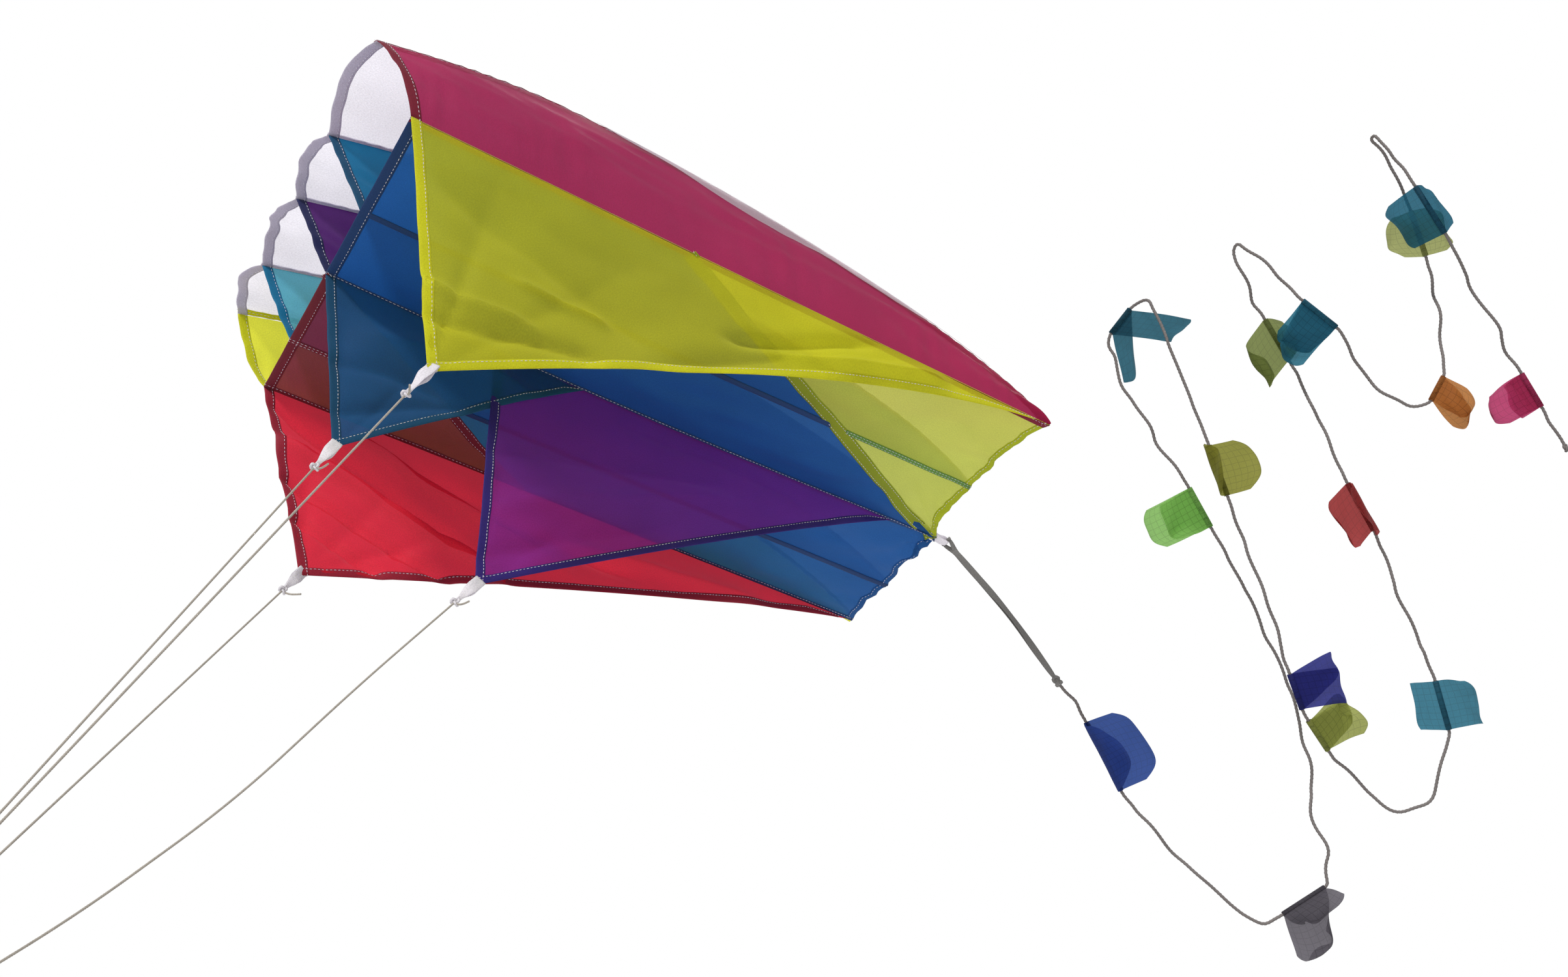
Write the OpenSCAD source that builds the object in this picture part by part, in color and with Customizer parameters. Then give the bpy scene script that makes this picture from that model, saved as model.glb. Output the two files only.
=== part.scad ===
// Parafoil kite: four ram-air cells sewn from thin cloth, four keels under them,
// a bridle that gathers at one tow loop, and a ribboned tail line.
// The origin is the tow loop. +X runs downwind, +Y across the span, +Z up.

/* [Canopy] */
// Length of a cell from leading edge to trailing edge
chord = 600; // [480:5:720]
// Width of the first cell
cell_1_w = 98; // [70:1:120]
// Width of the second cell
cell_2_w = 71; // [55:1:100]
// Width of the third cell
cell_3_w = 80; // [55:1:100]
// Width of the fourth cell
cell_4_w = 61; // [50:1:90]
// Height of the cells where they are deepest
cell_h = 108; // [85:1:130]
// Height of the open mouths
mouth_h = 72; // [55:1:84]
// How far the upper lip of a mouth leads the lower one
mouth_lead = 38; // [20:1:50]
// Distance of the deepest place behind the lower lip
crown_x = 130; // [100:5:170]
// How far the upper cloth swells between two ribs
swell = 9; // [4:1:12]
// How far the wind presses the two outer ribs out of their planes
outer_swell = 13; // [6:1:18]
// Thickness of the cloth, seams included
cloth = 0.6; // [0.5:0.1:1]

/* [Lower skin] */
// Length of the front corner panel along the far seam
front_panel_len = 240; // [150:5:300]
// Length of the rear corner panel along the near seam
rear_panel_len = 362; // [280:5:420]

/* [Keels] */
// Depth of the two outer keels
outer_keel_drop = 213; // [170:1:250]
// How far the corner of an outer keel lies behind the leading edge
outer_keel_rake = 58; // [30:1:80]
// How far the corner of an outer keel is drawn inwards
outer_keel_lean = 35; // [15:1:50]
// Depth of the front centre keel
front_keel_drop = 180; // [140:1:210]
// How far the corner of the front centre keel lies behind the leading edge
front_keel_rake = 37; // [20:1:60]
// Length of the front centre keel along its seam
front_keel_len = 240; // [180:5:300]
// Depth of the rear centre keel
rear_keel_drop = 257; // [210:1:300]
// Where the rear centre keel starts along its seam
rear_keel_start = 147; // [120:1:170]
// How far the corner of the rear centre keel lies behind its start
rear_keel_rake = 12; // [0:1:30]
// Length of the rear centre keel along its seam
rear_keel_len = 408; // [330:1:440]

/* [Bridle] */
// Height of the lower skin above the tow loop
tow_drop = 700; // [600:5:820]
// Distance of the leading edge behind the tow loop
tow_lead = 150; // [120:5:180]
// Diameter of a bridle line
line_d = 1.6; // [1.2:0.1:2]
// Width of the tapes that hold the lines
tape_w = 9; // [7:0.5:12]
// Free length of a tape
tape_len = 25; // [18:1:32]
// Thickness of a folded tape
tape_t = 1.6; // [1.2:0.1:2]
// Length of a tape that is sewn onto the cloth
tape_sewn = 8; // [5:1:12]
// Diameter of the knots on the tapes
knot_d = 6; // [5:0.5:8]
// Diameter of the knot where the four lines meet
tow_knot_d = 10; // [8:0.5:12]
// Diameter of the tow loop across its middle line
tow_loop_d = 18; // [14:1:24]

/* [Tail] */
// Length of the tab at the trailing edge, to the middle of its eye
tab_len = 12; // [10:1:16]
// Radius of the ribbon fold that turns in the eye
fold_r = 1.5; // [1.2:0.1:2]
// Clearance around the ribbon fold
fold_gap = 0.1; // [0.05:0.01:0.1]
// Width of a yoke ribbon
ribbon_w = 6; // [4:0.5:8]
// Thickness of a yoke ribbon
ribbon_t = 0.8; // [0.6:0.1:1]
// Diameter of the knot that ends the yoke
yoke_knot_d = 9; // [8:0.5:11]
// Diameter of the tail line
tail_d = 3; // [2.4:0.1:3.4]
// Diameter of the knot at the end of the tail
end_knot_d = 8; // [6:0.5:10]
// Clearance between a bow's sleeve and the tail line
sleeve_gap = 0.3; // [0.2:0.05:0.5]
// Wall of a bow's sleeve
sleeve_wall = 0.8; // [0.6:0.1:1.2]
// Thickness of a bow's cloth
bow_t = 0.8; // [0.6:0.1:1.2]

/* [Hidden] */
BOWS = 15;

$fn = 48;

// The seams across the span, from the near side to the far side. Y is 0 at the centre seam.
seam_y = [-cell_1_w - cell_2_w, -cell_2_w, 0, cell_3_w, cell_3_w + cell_4_w];
lead_x = tow_lead;
trail_x = tow_lead + chord;
skin_z = tow_drop;

// Corners of the keels, where the tapes are sewn
corner_yellow = [lead_x + outer_keel_rake, seam_y[0] + outer_keel_lean, skin_z - outer_keel_drop];
corner_red = [lead_x + outer_keel_rake, seam_y[4] - outer_keel_lean, skin_z - outer_keel_drop];
corner_blue = [lead_x + front_keel_rake, 0, skin_z - front_keel_drop];
corner_purple = [lead_x + rear_keel_start + rear_keel_rake, 0, skin_z - rear_keel_drop];
tow_point = [0, 0, 0];

// The slack bridle line hangs through these points on its way to the tow knot.
slack_points = [[240, 0, 325], [180, 0, 215], [115, 0, 122], [60, 0, 55]];

// The yoke hangs from the eye of the tab and ends in its knot.
yoke_eye = [trail_x + tab_len, 0, skin_z];
yoke_knot_at = [890, 15, 595];
yoke_middle = [830, 2, 650];

// The tail line, from the yoke knot to its end
tail_points = [
    [920, 20, 570], [975, 40, 510], [1030, 42, 465], [1100, 37, 420], [1115, 30, 415],
    [1125, 20, 420], [1153, -20, 440], [1145, -32, 465], [1125, -45, 500], [1125, -60, 530],
    [1087, -90, 603], [1020, -120, 675], [975, -137, 708], [940, -150, 738], [868, -165, 813],
    [842, -177, 853], [840, -185, 861], [849, -211, 881], [853, -229, 882], [866, -227, 846],
    [916, -200, 774], [930, -193, 754], [958, -177, 706], [1013, -146, 627], [1047, -122, 579],
    [1073, -106, 549], [1114, -93, 524], [1143, -90, 515], [1181, -88, 485], [1209, -117, 494],
    [1206, -130, 510], [1204, -160, 542], [1177, -181, 582], [1111, -215, 664], [1093, -226, 688],
    [1055, -239, 728], [1011, -259, 796], [989, -267, 826], [953, -278, 864], [904, -300, 907],
    [902, -310, 910], [920, -314, 895], [957, -318, 852], [999, -321, 828], [1040, -302, 798],
    [1088, -312, 777], [1098, -324, 781], [1102, -346, 801], [1096, -361, 835], [1072, -392, 905],
    [1043, -412, 947], [1010, -428, 972], [978, -435, 981], [975, -443, 980], [1011, -439, 932],
    [1054, -427, 888], [1088, -412, 864], [1159, -387, 801], [1188, -378, 771], [1216, -369, 742]];
// A direction that no stretch of the tail runs along
tail_face = [0.45, 0.62, 0.62];

// Each bow: the tail point that its stretch starts at, its length along the line, and its two
// flaps. A flap has its reach, its turn about the line, the angle that it curls through, how far
// its free edge slides along the line, and how much longer that edge is than the sewn one.
bow_table = [
    [0, 70, [45, -129, 50, 4, 0], [60, 1, -110, -6, -0.2]],
    [5, 46, [58, 57, -60, -12, 0.2], [28, -33, 30, 8, 0.3]],
    [12, 42, [38, -63, -10, 0, 0], [54, -88, 25, 0, 0]],
    [16, 30, [58, 40, 30, 34, 0], [42, 70, -40, -38, -0.3]],
    [21, 50, [36, -109, 40, 3, 0], [36, 36, -130, 0, 0]],
    [24, 34, [45, -83, 20, 4, 0], [44, -113, 30, -14, -0.2]],
    [25, 34, [42, -116, 15, 2, 0.2], [38, -96, -20, -14, 0]],
    [31, 46, [34, 84, -40, 0, 0], [22, -96, -20, 4, 0]],
    [34, 50, [34, -91, 60, -14, 0.1], [42, 39, -110, -6, 0]],
    [37, 46, [50, -80, 70, -22, 0], [14, 100, -30, 0, -0.3]],
    [42, 40, [42, 53, 25, 0, 0], [54, 78, -20, 6, -0.3]],
    [46, 26, [46, 72, -50, -16, 0.4], [40, 12, 20, -10, 0.2]],
    [49, 46, [34, 83, -50, -4, 0], [30, -97, 20, 4, -0.2]],
    [54, 52, [42, 80, 50, 0, -0.1], [12, -95, 30, 0, -0.2]],
    [57, 36, [46, 91, -100, 0, 0], [30, 76, 70, 4, 0]]];
bow_colours = ["royalblue", "silver", "lightgreen", "teal", "olive", "navy", "darkkhaki",
    "lightseagreen", "firebrick", "olivedrab", "teal", "darkorange", "olive", "lightseagreen",
    "hotpink"];

// Numbers of steps of the swept and curved shapes
chord_steps = 14;
swell_steps = 6;
rib_steps = 6;
keel_steps = 10;
line_sides = 8;
curl_steps = 8;
// The shape of the cells behind the crown, and of the lower edges of the keels
cell_fall = 2;
cell_bluntness = 0.7;
near_keel_hollow = 1.4;
far_keel_hollow = 1.15;
centre_keel_hollow = 1.08;

function unit(v) = v / norm(v);
function mix(a, b, s) = a + (b - a) * s;

// Height of a cell above the lower skin, x behind the lower lip
function cell_height(x) = x < crown_x
    ? mouth_h + (cell_h - mouth_h) * sin(90 * (x + mouth_lead) / (crown_x + mouth_lead))
    : cell_h * pow(1 - pow((x - crown_x) / (chord - crown_x), cell_fall), cell_bluntness);
// Chord stations lie closer together towards the mouth and the trailing edge.
function chord_share(i) = (1 - cos(180 * i / chord_steps)) / 2;
function chord_station(i) = mix(-mouth_lead, chord, chord_share(i));
// The cloth stands proud in the middle of a cell, and less towards the trailing edge.
function swell_at(x, across) = swell * sin(180 * across)
    * min(1, 1.6 * cell_height(x) / cell_h);

// A closed sheet between a lower and an upper grid of points, both with rows along X
module sheet(lower, upper) {
    rows = len(lower);
    cols = len(lower[0]);
    function at(layer, i, j) = layer * rows * cols + i * cols + j;
    function split(a, b, c, d) = [[a, b, c], [a, c, d]];
    faces = concat(
        [for (i = [0:rows - 2], j = [0:cols - 2])
            each split(at(1, i, j), at(1, i, j + 1), at(1, i + 1, j + 1), at(1, i + 1, j))],
        [for (i = [0:rows - 2], j = [0:cols - 2])
            each split(at(0, i, j), at(0, i + 1, j), at(0, i + 1, j + 1), at(0, i, j + 1))],
        [for (i = [0:rows - 2])
            each split(at(0, i, 0), at(1, i, 0), at(1, i + 1, 0), at(0, i + 1, 0))],
        [for (i = [0:rows - 2])
            each split(at(0, i + 1, cols - 1), at(1, i + 1, cols - 1), at(1, i, cols - 1),
                at(0, i, cols - 1))],
        [for (j = [0:cols - 2])
            each split(at(0, 0, j + 1), at(1, 0, j + 1), at(1, 0, j), at(0, 0, j))],
        [for (j = [0:cols - 2])
            each split(at(0, rows - 1, j), at(1, rows - 1, j), at(1, rows - 1, j + 1),
                at(0, rows - 1, j + 1))]);
    polyhedron(points = concat([for (row = lower) each row], [for (row = upper) each row]),
        faces = faces);
}

// One ring of a tube at point i of a route
function route_way(route, i) = unit(
    (i < len(route) - 1 ? unit(route[i + 1] - route[i]) : [0, 0, 0])
    + (i > 0 ? unit(route[i] - route[i - 1]) : [0, 0, 0]));
function route_ring(route, i, outline, face) =
    let (way = route_way(route, i), side = unit(cross(way, face)), up = cross(way, side))
    [for (p = outline) route[i] + side * p[0] + up * p[1]];

// An outline swept along a route
module swept(route, outline, face) {
    n = len(outline);
    last = (len(route) - 1) * n;
    points = [for (i = [0:len(route) - 1]) each route_ring(route, i, outline, face)];
    walls = [for (i = [0:len(route) - 2], k = [0:n - 1])
        let (a = i * n + k, b = i * n + (k + 1) % n) each [[a, a + n, b + n], [a, b + n, b]]];
    polyhedron(points = points, faces = concat(walls,
        [[for (k = [0:n - 1]) k]], [[for (k = [n - 1:-1:0]) last + k]]));
}
function round_outline(d) = [for (k = [0:line_sides - 1])
    d / 2 * [cos(360 * k / line_sides), sin(360 * k / line_sides)]];
function flat_outline(w, t) = [[w / 2, t / 2], [-w / 2, t / 2], [-w / 2, -t / 2], [w / 2, -t / 2]];

// Children stand at a place with their Z along a direction
module aim(place, way) {
    w = unit(way);
    translate(place) rotate([0, acos(w[2]), atan2(w[1], w[0])]) children();
}

// The upper skin of one cell
module top_panel(cell) {
    y0 = seam_y[cell - 1];
    y1 = seam_y[cell];
    function inner(i, j) = let (x = chord_station(i), across = j / swell_steps)
        [lead_x + x, mix(y0, y1, across), skin_z + cell_height(x) + swell_at(x, across)];
    lower = [for (i = [0:chord_steps]) [for (j = [0:swell_steps]) inner(i, j)]];
    upper = [for (row = lower) [for (p = row) p + [0, 0, cloth]]];
    color("whitesmoke") sheet(lower, upper);
}

// A rib fills the profile of the cells; from is the side of its seam that the cloth starts on.
module rib(seam, from) {
    profile = concat([[0, 0]],
        [for (i = [0:chord_steps]) let (x = chord_station(i)) [x, cell_height(x)]]);
    translate([lead_x, seam_y[seam] + from + cloth, skin_z]) rotate([90, 0, 0])
        linear_extrude(cloth) polygon(profile);
}

// An outer rib swells away from the cells; out is -1 on the near side and 1 on the far side.
// It stops a little short of the trailing edge, where the skins meet.
module outer_rib(seam, out) {
    last = chord_steps - 1;
    stations = concat([for (i = [0:last]) [chord_share(i), cell_height(chord_station(i))]],
        [[mix(chord_share(last), 1, 0.6), 0.4 * cell_height(chord_station(last))]]);
    function skin(share, height, up, layer) = [lead_x + mix(-mouth_lead * up, chord, share),
        seam_y[seam] - out * cloth * layer + out * outer_swell * sin(180 * up) * height / cell_h,
        skin_z + up * height];
    function grid(layer) = [for (s = stations)
        [for (j = [0:rib_steps]) skin(s[0], s[1], j / rib_steps, layer)]];
    if (out < 0) sheet(grid(1), grid(0)); else sheet(grid(0), grid(1));
}
module rib_burgundy() { color("mediumvioletred") outer_rib(0, -1); }
module rib_teal() { color("darkcyan") rib(1, -cloth / 2); }
module rib_purple() { color("indigo") rib(2, -cloth / 2); }
module rib_sky() { color("skyblue") rib(3, -cloth / 2); }
module rib_yellow() { color("yellow") outer_rib(4, 1); }

// The lower skin is one flat layer of three panels with two slanting seams.
front_corner_x = lead_x + front_panel_len;
rear_corner_x = trail_x - rear_panel_len;
module bottom_panel(outline) {
    translate([0, 0, skin_z - cloth]) linear_extrude(cloth) polygon(outline);
}
module bottom_panel_blue() {
    color("steelblue") bottom_panel([[lead_x, seam_y[0]], [rear_corner_x, seam_y[0]], [trail_x, 0],
        [trail_x, seam_y[4]], [front_corner_x, seam_y[4]], [lead_x, 0]]);
}
module bottom_panel_red() {
    color("brown") bottom_panel([[lead_x, 0], [front_corner_x, seam_y[4]], [lead_x, seam_y[4]]]);
}
module bottom_panel_green() {
    color("yellowgreen")
        bottom_panel([[rear_corner_x, seam_y[0]], [trail_x, seam_y[0]], [trail_x, 0]]);
}

// A keel hangs below its seam from start to start + length, with its corner set back by rake.
// Its plane leans by lean, and from is the side of the seam that the cloth starts on.
// A leaning keel starts lower by the height that its upper edge gains as it leans.
module keel(y, start, length, rake, drop, lean, hollow, from) {
    depth = norm([drop, lean]);
    gain = cloth * abs(lean) / depth;
    edge = [for (k = [0:keel_steps]) let (s = k / keel_steps)
        [start + mix(rake, length, s), -depth * pow(1 - s, hollow)]];
    translate([lead_x, y, skin_z - cloth - gain]) rotate([atan(lean / drop), 0, 0])
        translate([0, from + cloth, 0]) rotate([90, 0, 0])
            linear_extrude(cloth) polygon(concat([[start, 0]], edge));
}
module keel_yellow() {
    color("gold") keel(seam_y[0], 0, chord, outer_keel_rake, outer_keel_drop - cloth,
        outer_keel_lean, near_keel_hollow, 0);
}
module keel_blue() {
    color("teal") keel(0, 0, front_keel_len, front_keel_rake, front_keel_drop - cloth,
        0, centre_keel_hollow, -cloth);
}
module keel_purple() {
    color("purple") keel(0, rear_keel_start, rear_keel_len, rear_keel_rake,
        rear_keel_drop - cloth, 0, centre_keel_hollow, 0);
}
module keel_red() {
    color("crimson") keel(seam_y[4], 0, chord, outer_keel_rake, outer_keel_drop - cloth,
        -outer_keel_lean, far_keel_hollow, -cloth);
}

// A folded tape runs from a keel's corner towards target and ends in its knot.
module tape(corner, target) {
    half = tape_w / 2;
    color("gainsboro") aim(corner, target - corner) rotate([90, 0, 0])
        linear_extrude(tape_t, center = true)
            polygon([[-half, -tape_sewn], [half, -tape_sewn], [half, tape_len / 2],
                [line_d, tape_len], [-line_d, tape_len], [-half, tape_len / 2]]);
}
function knot_at(corner, target) = corner + unit(target - corner) * tape_len;
module knot(corner, target) {
    color("silver") translate(knot_at(corner, target)) sphere(d = knot_d);
}
module bridle(corner, target, between) {
    color("dimgray") swept(concat([knot_at(corner, target)], between, [tow_point]),
        round_outline(line_d), [0, 1, 0.1]);
}
module tape_yellow() { tape(corner_yellow, tow_point); }
module tape_blue() { tape(corner_blue, tow_point); }
module tape_purple() { tape(corner_purple, slack_points[0]); }
module tape_red() { tape(corner_red, tow_point); }
module knot_yellow() { knot(corner_yellow, tow_point); }
module knot_blue() { knot(corner_blue, tow_point); }
module knot_purple() { knot(corner_purple, slack_points[0]); }
module knot_red() { knot(corner_red, tow_point); }
module bridle_yellow() { bridle(corner_yellow, tow_point, []); }
module bridle_blue() { bridle(corner_blue, tow_point, []); }
module bridle_purple() { bridle(corner_purple, slack_points[0], slack_points); }
module bridle_red() { bridle(corner_red, tow_point, []); }

module tow_knot() { color("dimgray") sphere(d = tow_knot_d); }
// The loop hangs from the tow knot, away from the keels.
tow_way = -unit(corner_blue);
module tow_loop() {
    color("dimgray") aim(tow_way * (tow_loop_d / 2 + tow_knot_d / 2 - line_d / 2), tow_way)
        rotate([90, 0, 0]) rotate_extrude() translate([tow_loop_d / 2, 0]) circle(d = line_d);
}

// The tab is a short tape with an eye across its end.
eye_r = fold_r + fold_gap;
module tail_tab() {
    color("gainsboro") translate([0, tape_w / 2, skin_z]) rotate([90, 0, 0])
        linear_extrude(tape_w) difference() {
            union() {
                translate([trail_x - tape_sewn, 0]) square([tape_sewn + tab_len, cloth]);
                translate([yoke_eye[0], 0]) circle(r = eye_r + cloth * 1.5);
            }
            translate([yoke_eye[0], 0]) circle(r = eye_r);
        }
}

// Two ribbons meet in the eye and in the yoke's knot.
module tail_yoke() {
    arm_y = tape_w / 2 + ribbon_w / 2 + ribbon_t;
    fold_len = 2 * arm_y + ribbon_w;
    color("gray") {
        translate(yoke_eye + [0, fold_len / 2, 0]) rotate([90, 0, 0])
            cylinder(r = fold_r, h = fold_len);
        for (side = [-1, 1])
            swept([yoke_eye + [0, side * arm_y, 0], yoke_middle + [0, side * ribbon_w * 0.7, 0],
                yoke_knot_at + [0, side * ribbon_w / 2, 0]], flat_outline(ribbon_w, ribbon_t),
                [1, 0, 1]);
    }
}
// The yoke's knot is round and drawn tight about its upright axis, which the tail swings on.
module yoke_knot() {
    color("gray") translate(yoke_knot_at) intersection() {
        sphere(d = yoke_knot_d);
        cylinder(d = 0.9 * yoke_knot_d, h = yoke_knot_d, center = true);
    }
}

// The line starts just clear of the yoke's knot, which turns on it.
tail_start = yoke_knot_at + unit(tail_points[0] - yoke_knot_at) * (yoke_knot_d / 2 + sleeve_gap);
module tail_line() {
    color("gray") swept(concat([tail_start], tail_points), round_outline(tail_d), tail_face);
}
module tail_end_knot() {
    color("gray") translate(tail_points[len(tail_points) - 1]) sphere(d = end_knot_d);
}

// A flap of a bow leaves the sleeve, curls, and may slide and widen along the line.
// Its root ends a little inside the ends of the sleeve.
module flap(span, reach, curl, slide, widen) {
    half = span / 2 - cloth;
    root = tail_d / 2 + sleeve_gap + sleeve_wall / 2;
    radius = reach * 180 / (PI * curl);
    function edge(s, shift, side) = [
        root + (radius - shift) * sin(curl * s), radius - (radius - shift) * cos(curl * s),
        side * half * (1 + widen * s) + slide * s];
    function grid(shift) = [for (k = [0:curl_steps])
        [for (side = [-1, 1]) edge(k / curl_steps, shift, side)]];
    sheet(grid(bow_t / 2), grid(-bow_t / 2));
}

// A bow is a scrap of cloth with a sewn sleeve that turns on the tail line.
module bow(index) {
    row = bow_table[index];
    a = tail_points[row[0]];
    b = tail_points[row[0] + 1];
    bore = tail_d / 2 + sleeve_gap;
    color(bow_colours[index]) aim((a + b) / 2, b - a) {
        linear_extrude(row[1], center = true) difference() {
            circle(bore + sleeve_wall);
            circle(bore);
        }
        for (f = [row[2], row[3]])
            rotate([0, 0, f[1]]) flap(row[1], f[0], f[2], f[3], f[4]);
    }
}

for (cell = [1:4])
    top_panel(cell);
rib_burgundy();
rib_teal();
rib_purple();
rib_sky();
rib_yellow();
bottom_panel_blue();
bottom_panel_red();
bottom_panel_green();
keel_yellow();
keel_blue();
keel_purple();
keel_red();
tape_yellow();
tape_blue();
tape_purple();
tape_red();
knot_yellow();
knot_blue();
knot_purple();
knot_red();
bridle_yellow();
bridle_blue();
bridle_purple();
bridle_red();
tow_knot();
tow_loop();
tail_tab();
tail_yoke();
yoke_knot();
tail_line();
tail_end_knot();
for (index = [0:BOWS - 1])
    bow(index);
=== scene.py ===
# %% [markdown]
# # A parafoil kite in flight
# A parafoil has no sticks. Four cells of thin cloth fill with wind through their open mouths, and
# four triangular keels carry the pull down to a bridle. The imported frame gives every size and
# place here, so each piece of cloth is laid over the part that it stands for.

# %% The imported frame
import math

import bmesh
import bpy
from mathutils import Matrix, Vector, noise


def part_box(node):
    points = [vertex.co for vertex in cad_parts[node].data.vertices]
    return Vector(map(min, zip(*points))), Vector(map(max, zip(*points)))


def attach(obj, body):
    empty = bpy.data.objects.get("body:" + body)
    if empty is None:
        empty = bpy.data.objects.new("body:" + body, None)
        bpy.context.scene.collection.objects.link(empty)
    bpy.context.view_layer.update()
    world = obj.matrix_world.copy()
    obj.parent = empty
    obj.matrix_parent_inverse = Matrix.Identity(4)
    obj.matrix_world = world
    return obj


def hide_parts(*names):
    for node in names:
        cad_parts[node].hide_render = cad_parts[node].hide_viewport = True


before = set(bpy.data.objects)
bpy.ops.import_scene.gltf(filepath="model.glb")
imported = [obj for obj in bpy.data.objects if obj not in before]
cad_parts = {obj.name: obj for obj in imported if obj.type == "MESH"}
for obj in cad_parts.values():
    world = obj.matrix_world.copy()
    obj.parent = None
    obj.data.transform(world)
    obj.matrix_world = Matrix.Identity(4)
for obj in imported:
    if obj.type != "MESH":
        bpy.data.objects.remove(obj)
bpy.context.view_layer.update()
scene = bpy.context.scene

# %% [markdown]
# ## The camera
# The kite is seen from the ground, so the camera stands below its near side and looks up at the
# lower skin, the open mouths and the tail. Three directions settle how it is turned.

# %% The camera
camera_at = Vector((0.0031, -0.8621, -0.3402))
camera_ahead = Vector((0.3971, 0.5930, 0.7005))
camera_above = Vector((-0.3611, -0.6007, 0.7133))
lens = bpy.data.cameras.new("ground_view")
lens.sensor_width = 36
lens.lens = 37.55
camera = bpy.data.objects.new("ground_view", lens)
turned = Matrix((camera_ahead.cross(camera_above), camera_above, -camera_ahead)).transposed()
camera.matrix_world = Matrix.Translation(camera_at) @ turned.to_4x4()
scene.collection.objects.link(camera)
scene.camera = camera
print("camera at", [round(value, 3) for value in camera_at])

# %% [markdown]
# ## Light
# Kite cloth lives from light that comes through it. An even white studio surrounds the kite, and
# a wide soft sun stands above and behind it, so that the cloth glows on its shaded side.

# %% The studio
scene.view_settings.view_transform = "Standard"
room_light = 0.42
studio = bpy.data.worlds.new("studio")
studio.use_nodes = True
surround = studio.node_tree
surround.nodes.clear()
seen = surround.nodes.new("ShaderNodeLightPath")
level = surround.nodes.new("ShaderNodeMapRange")
level.inputs["To Min"].default_value = room_light
level.inputs["To Max"].default_value = 1.0
white = surround.nodes.new("ShaderNodeBackground")
white.inputs["Color"].default_value = (1, 1, 1, 1)
shown = surround.nodes.new("ShaderNodeOutputWorld")
surround.links.new(seen.outputs["Is Camera Ray"], level.inputs["Value"])
surround.links.new(level.outputs["Result"], white.inputs["Strength"])
surround.links.new(white.outputs[0], shown.inputs["Surface"])
scene.world = studio


def soft_sun(name, towards, energy, width):
    light = bpy.data.lights.new(name, "SUN")
    light.energy = energy
    light.angle = math.radians(width)
    lamp = bpy.data.objects.new(name, light)
    lamp.matrix_world = Vector(towards).to_track_quat("Z", "Y").to_matrix().to_4x4()
    scene.collection.objects.link(lamp)


soft_sun("key_sun", (-0.62, -0.50, 0.42), 2.6, 8)
soft_sun("high_sun", (0.35, 0.25, 0.90), 1.9, 20)
soft_sun("far_sun", (0.35, 0.75, -0.35), 1.0, 15)

floor_z = -0.62
floor_half = 4.0
floor_mesh = bpy.data.meshes.new("floor")
floor_mesh.from_pydata(
    [(x, y, floor_z) for x, y in ((-1, -1), (1, -1), (1, 1), (-1, 1))], [], [(0, 1, 2, 3)]
)
floor_mesh.transform(Matrix.Diagonal((floor_half, floor_half, 1, 1)))
floor = bpy.data.objects.new("floor", floor_mesh)
scene.collection.objects.link(floor)
print("floor at", floor_z)

# %% [markdown]
# ## Small helpers for node trees
# Each finish is a tree of nodes. One helper adds a node, links the sockets that come from other
# nodes and sets the others, which keeps the recipes below short enough to read.

# %% Node helpers
def add(tree, kind, sockets=None, **settings):
    made = tree.nodes.new(kind)
    for name, value in settings.items():
        setattr(made, name, value)
    for name, value in (sockets or {}).items():
        if isinstance(value, bpy.types.NodeSocket):
            tree.links.new(value, made.inputs[name])
        else:
            made.inputs[name].default_value = value
    return made


def calc(tree, operation, *values):
    return add(tree, "ShaderNodeMath", dict(enumerate(values)), operation=operation).outputs[0]


def dye(code):
    shares = [int(code[i:i + 2], 16) / 255 for i in (0, 2, 4)]
    linear = [s / 12.92 if s <= 0.04045 else ((s + 0.055) / 1.055) ** 2.4 for s in shares]
    return Vector(linear)


def new_finish(name):
    finish = bpy.data.materials.new(name)
    finish.use_nodes = True
    finish.node_tree.nodes.clear()
    return finish, finish.node_tree


# %% The floor's finish
pale, tree = new_finish("floor_pale")
shade = add(tree, "ShaderNodeBsdfPrincipled", {"Base Color": (0.8, 0.8, 0.8, 1), "Roughness": 0.9})
add(tree, "ShaderNodeOutputMaterial", {"Surface": shade.outputs[0]})
floor_mesh.materials.append(pale)

# %% [markdown]
# ## Kite cloth
# The cells are plain-woven nylon. Light does three things in it: some bounces back, some comes
# out diffused on the other side, and a little passes straight between the threads. So the finish
# mixes a matt surface, a translucent one and a tinted clear one. Two crossed waves in the cloth's
# own UV map, which is in metres, raise the threads, and noise makes the dye uneven.

# %% The cloth recipe
# How much of a ripstop square its thicker threads take up, and how many wave lengths Blender's wave
# texture fits in one unit at a scale of one.
rib_share = 0.09
waves_per_unit = 20 / math.tau


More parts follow.
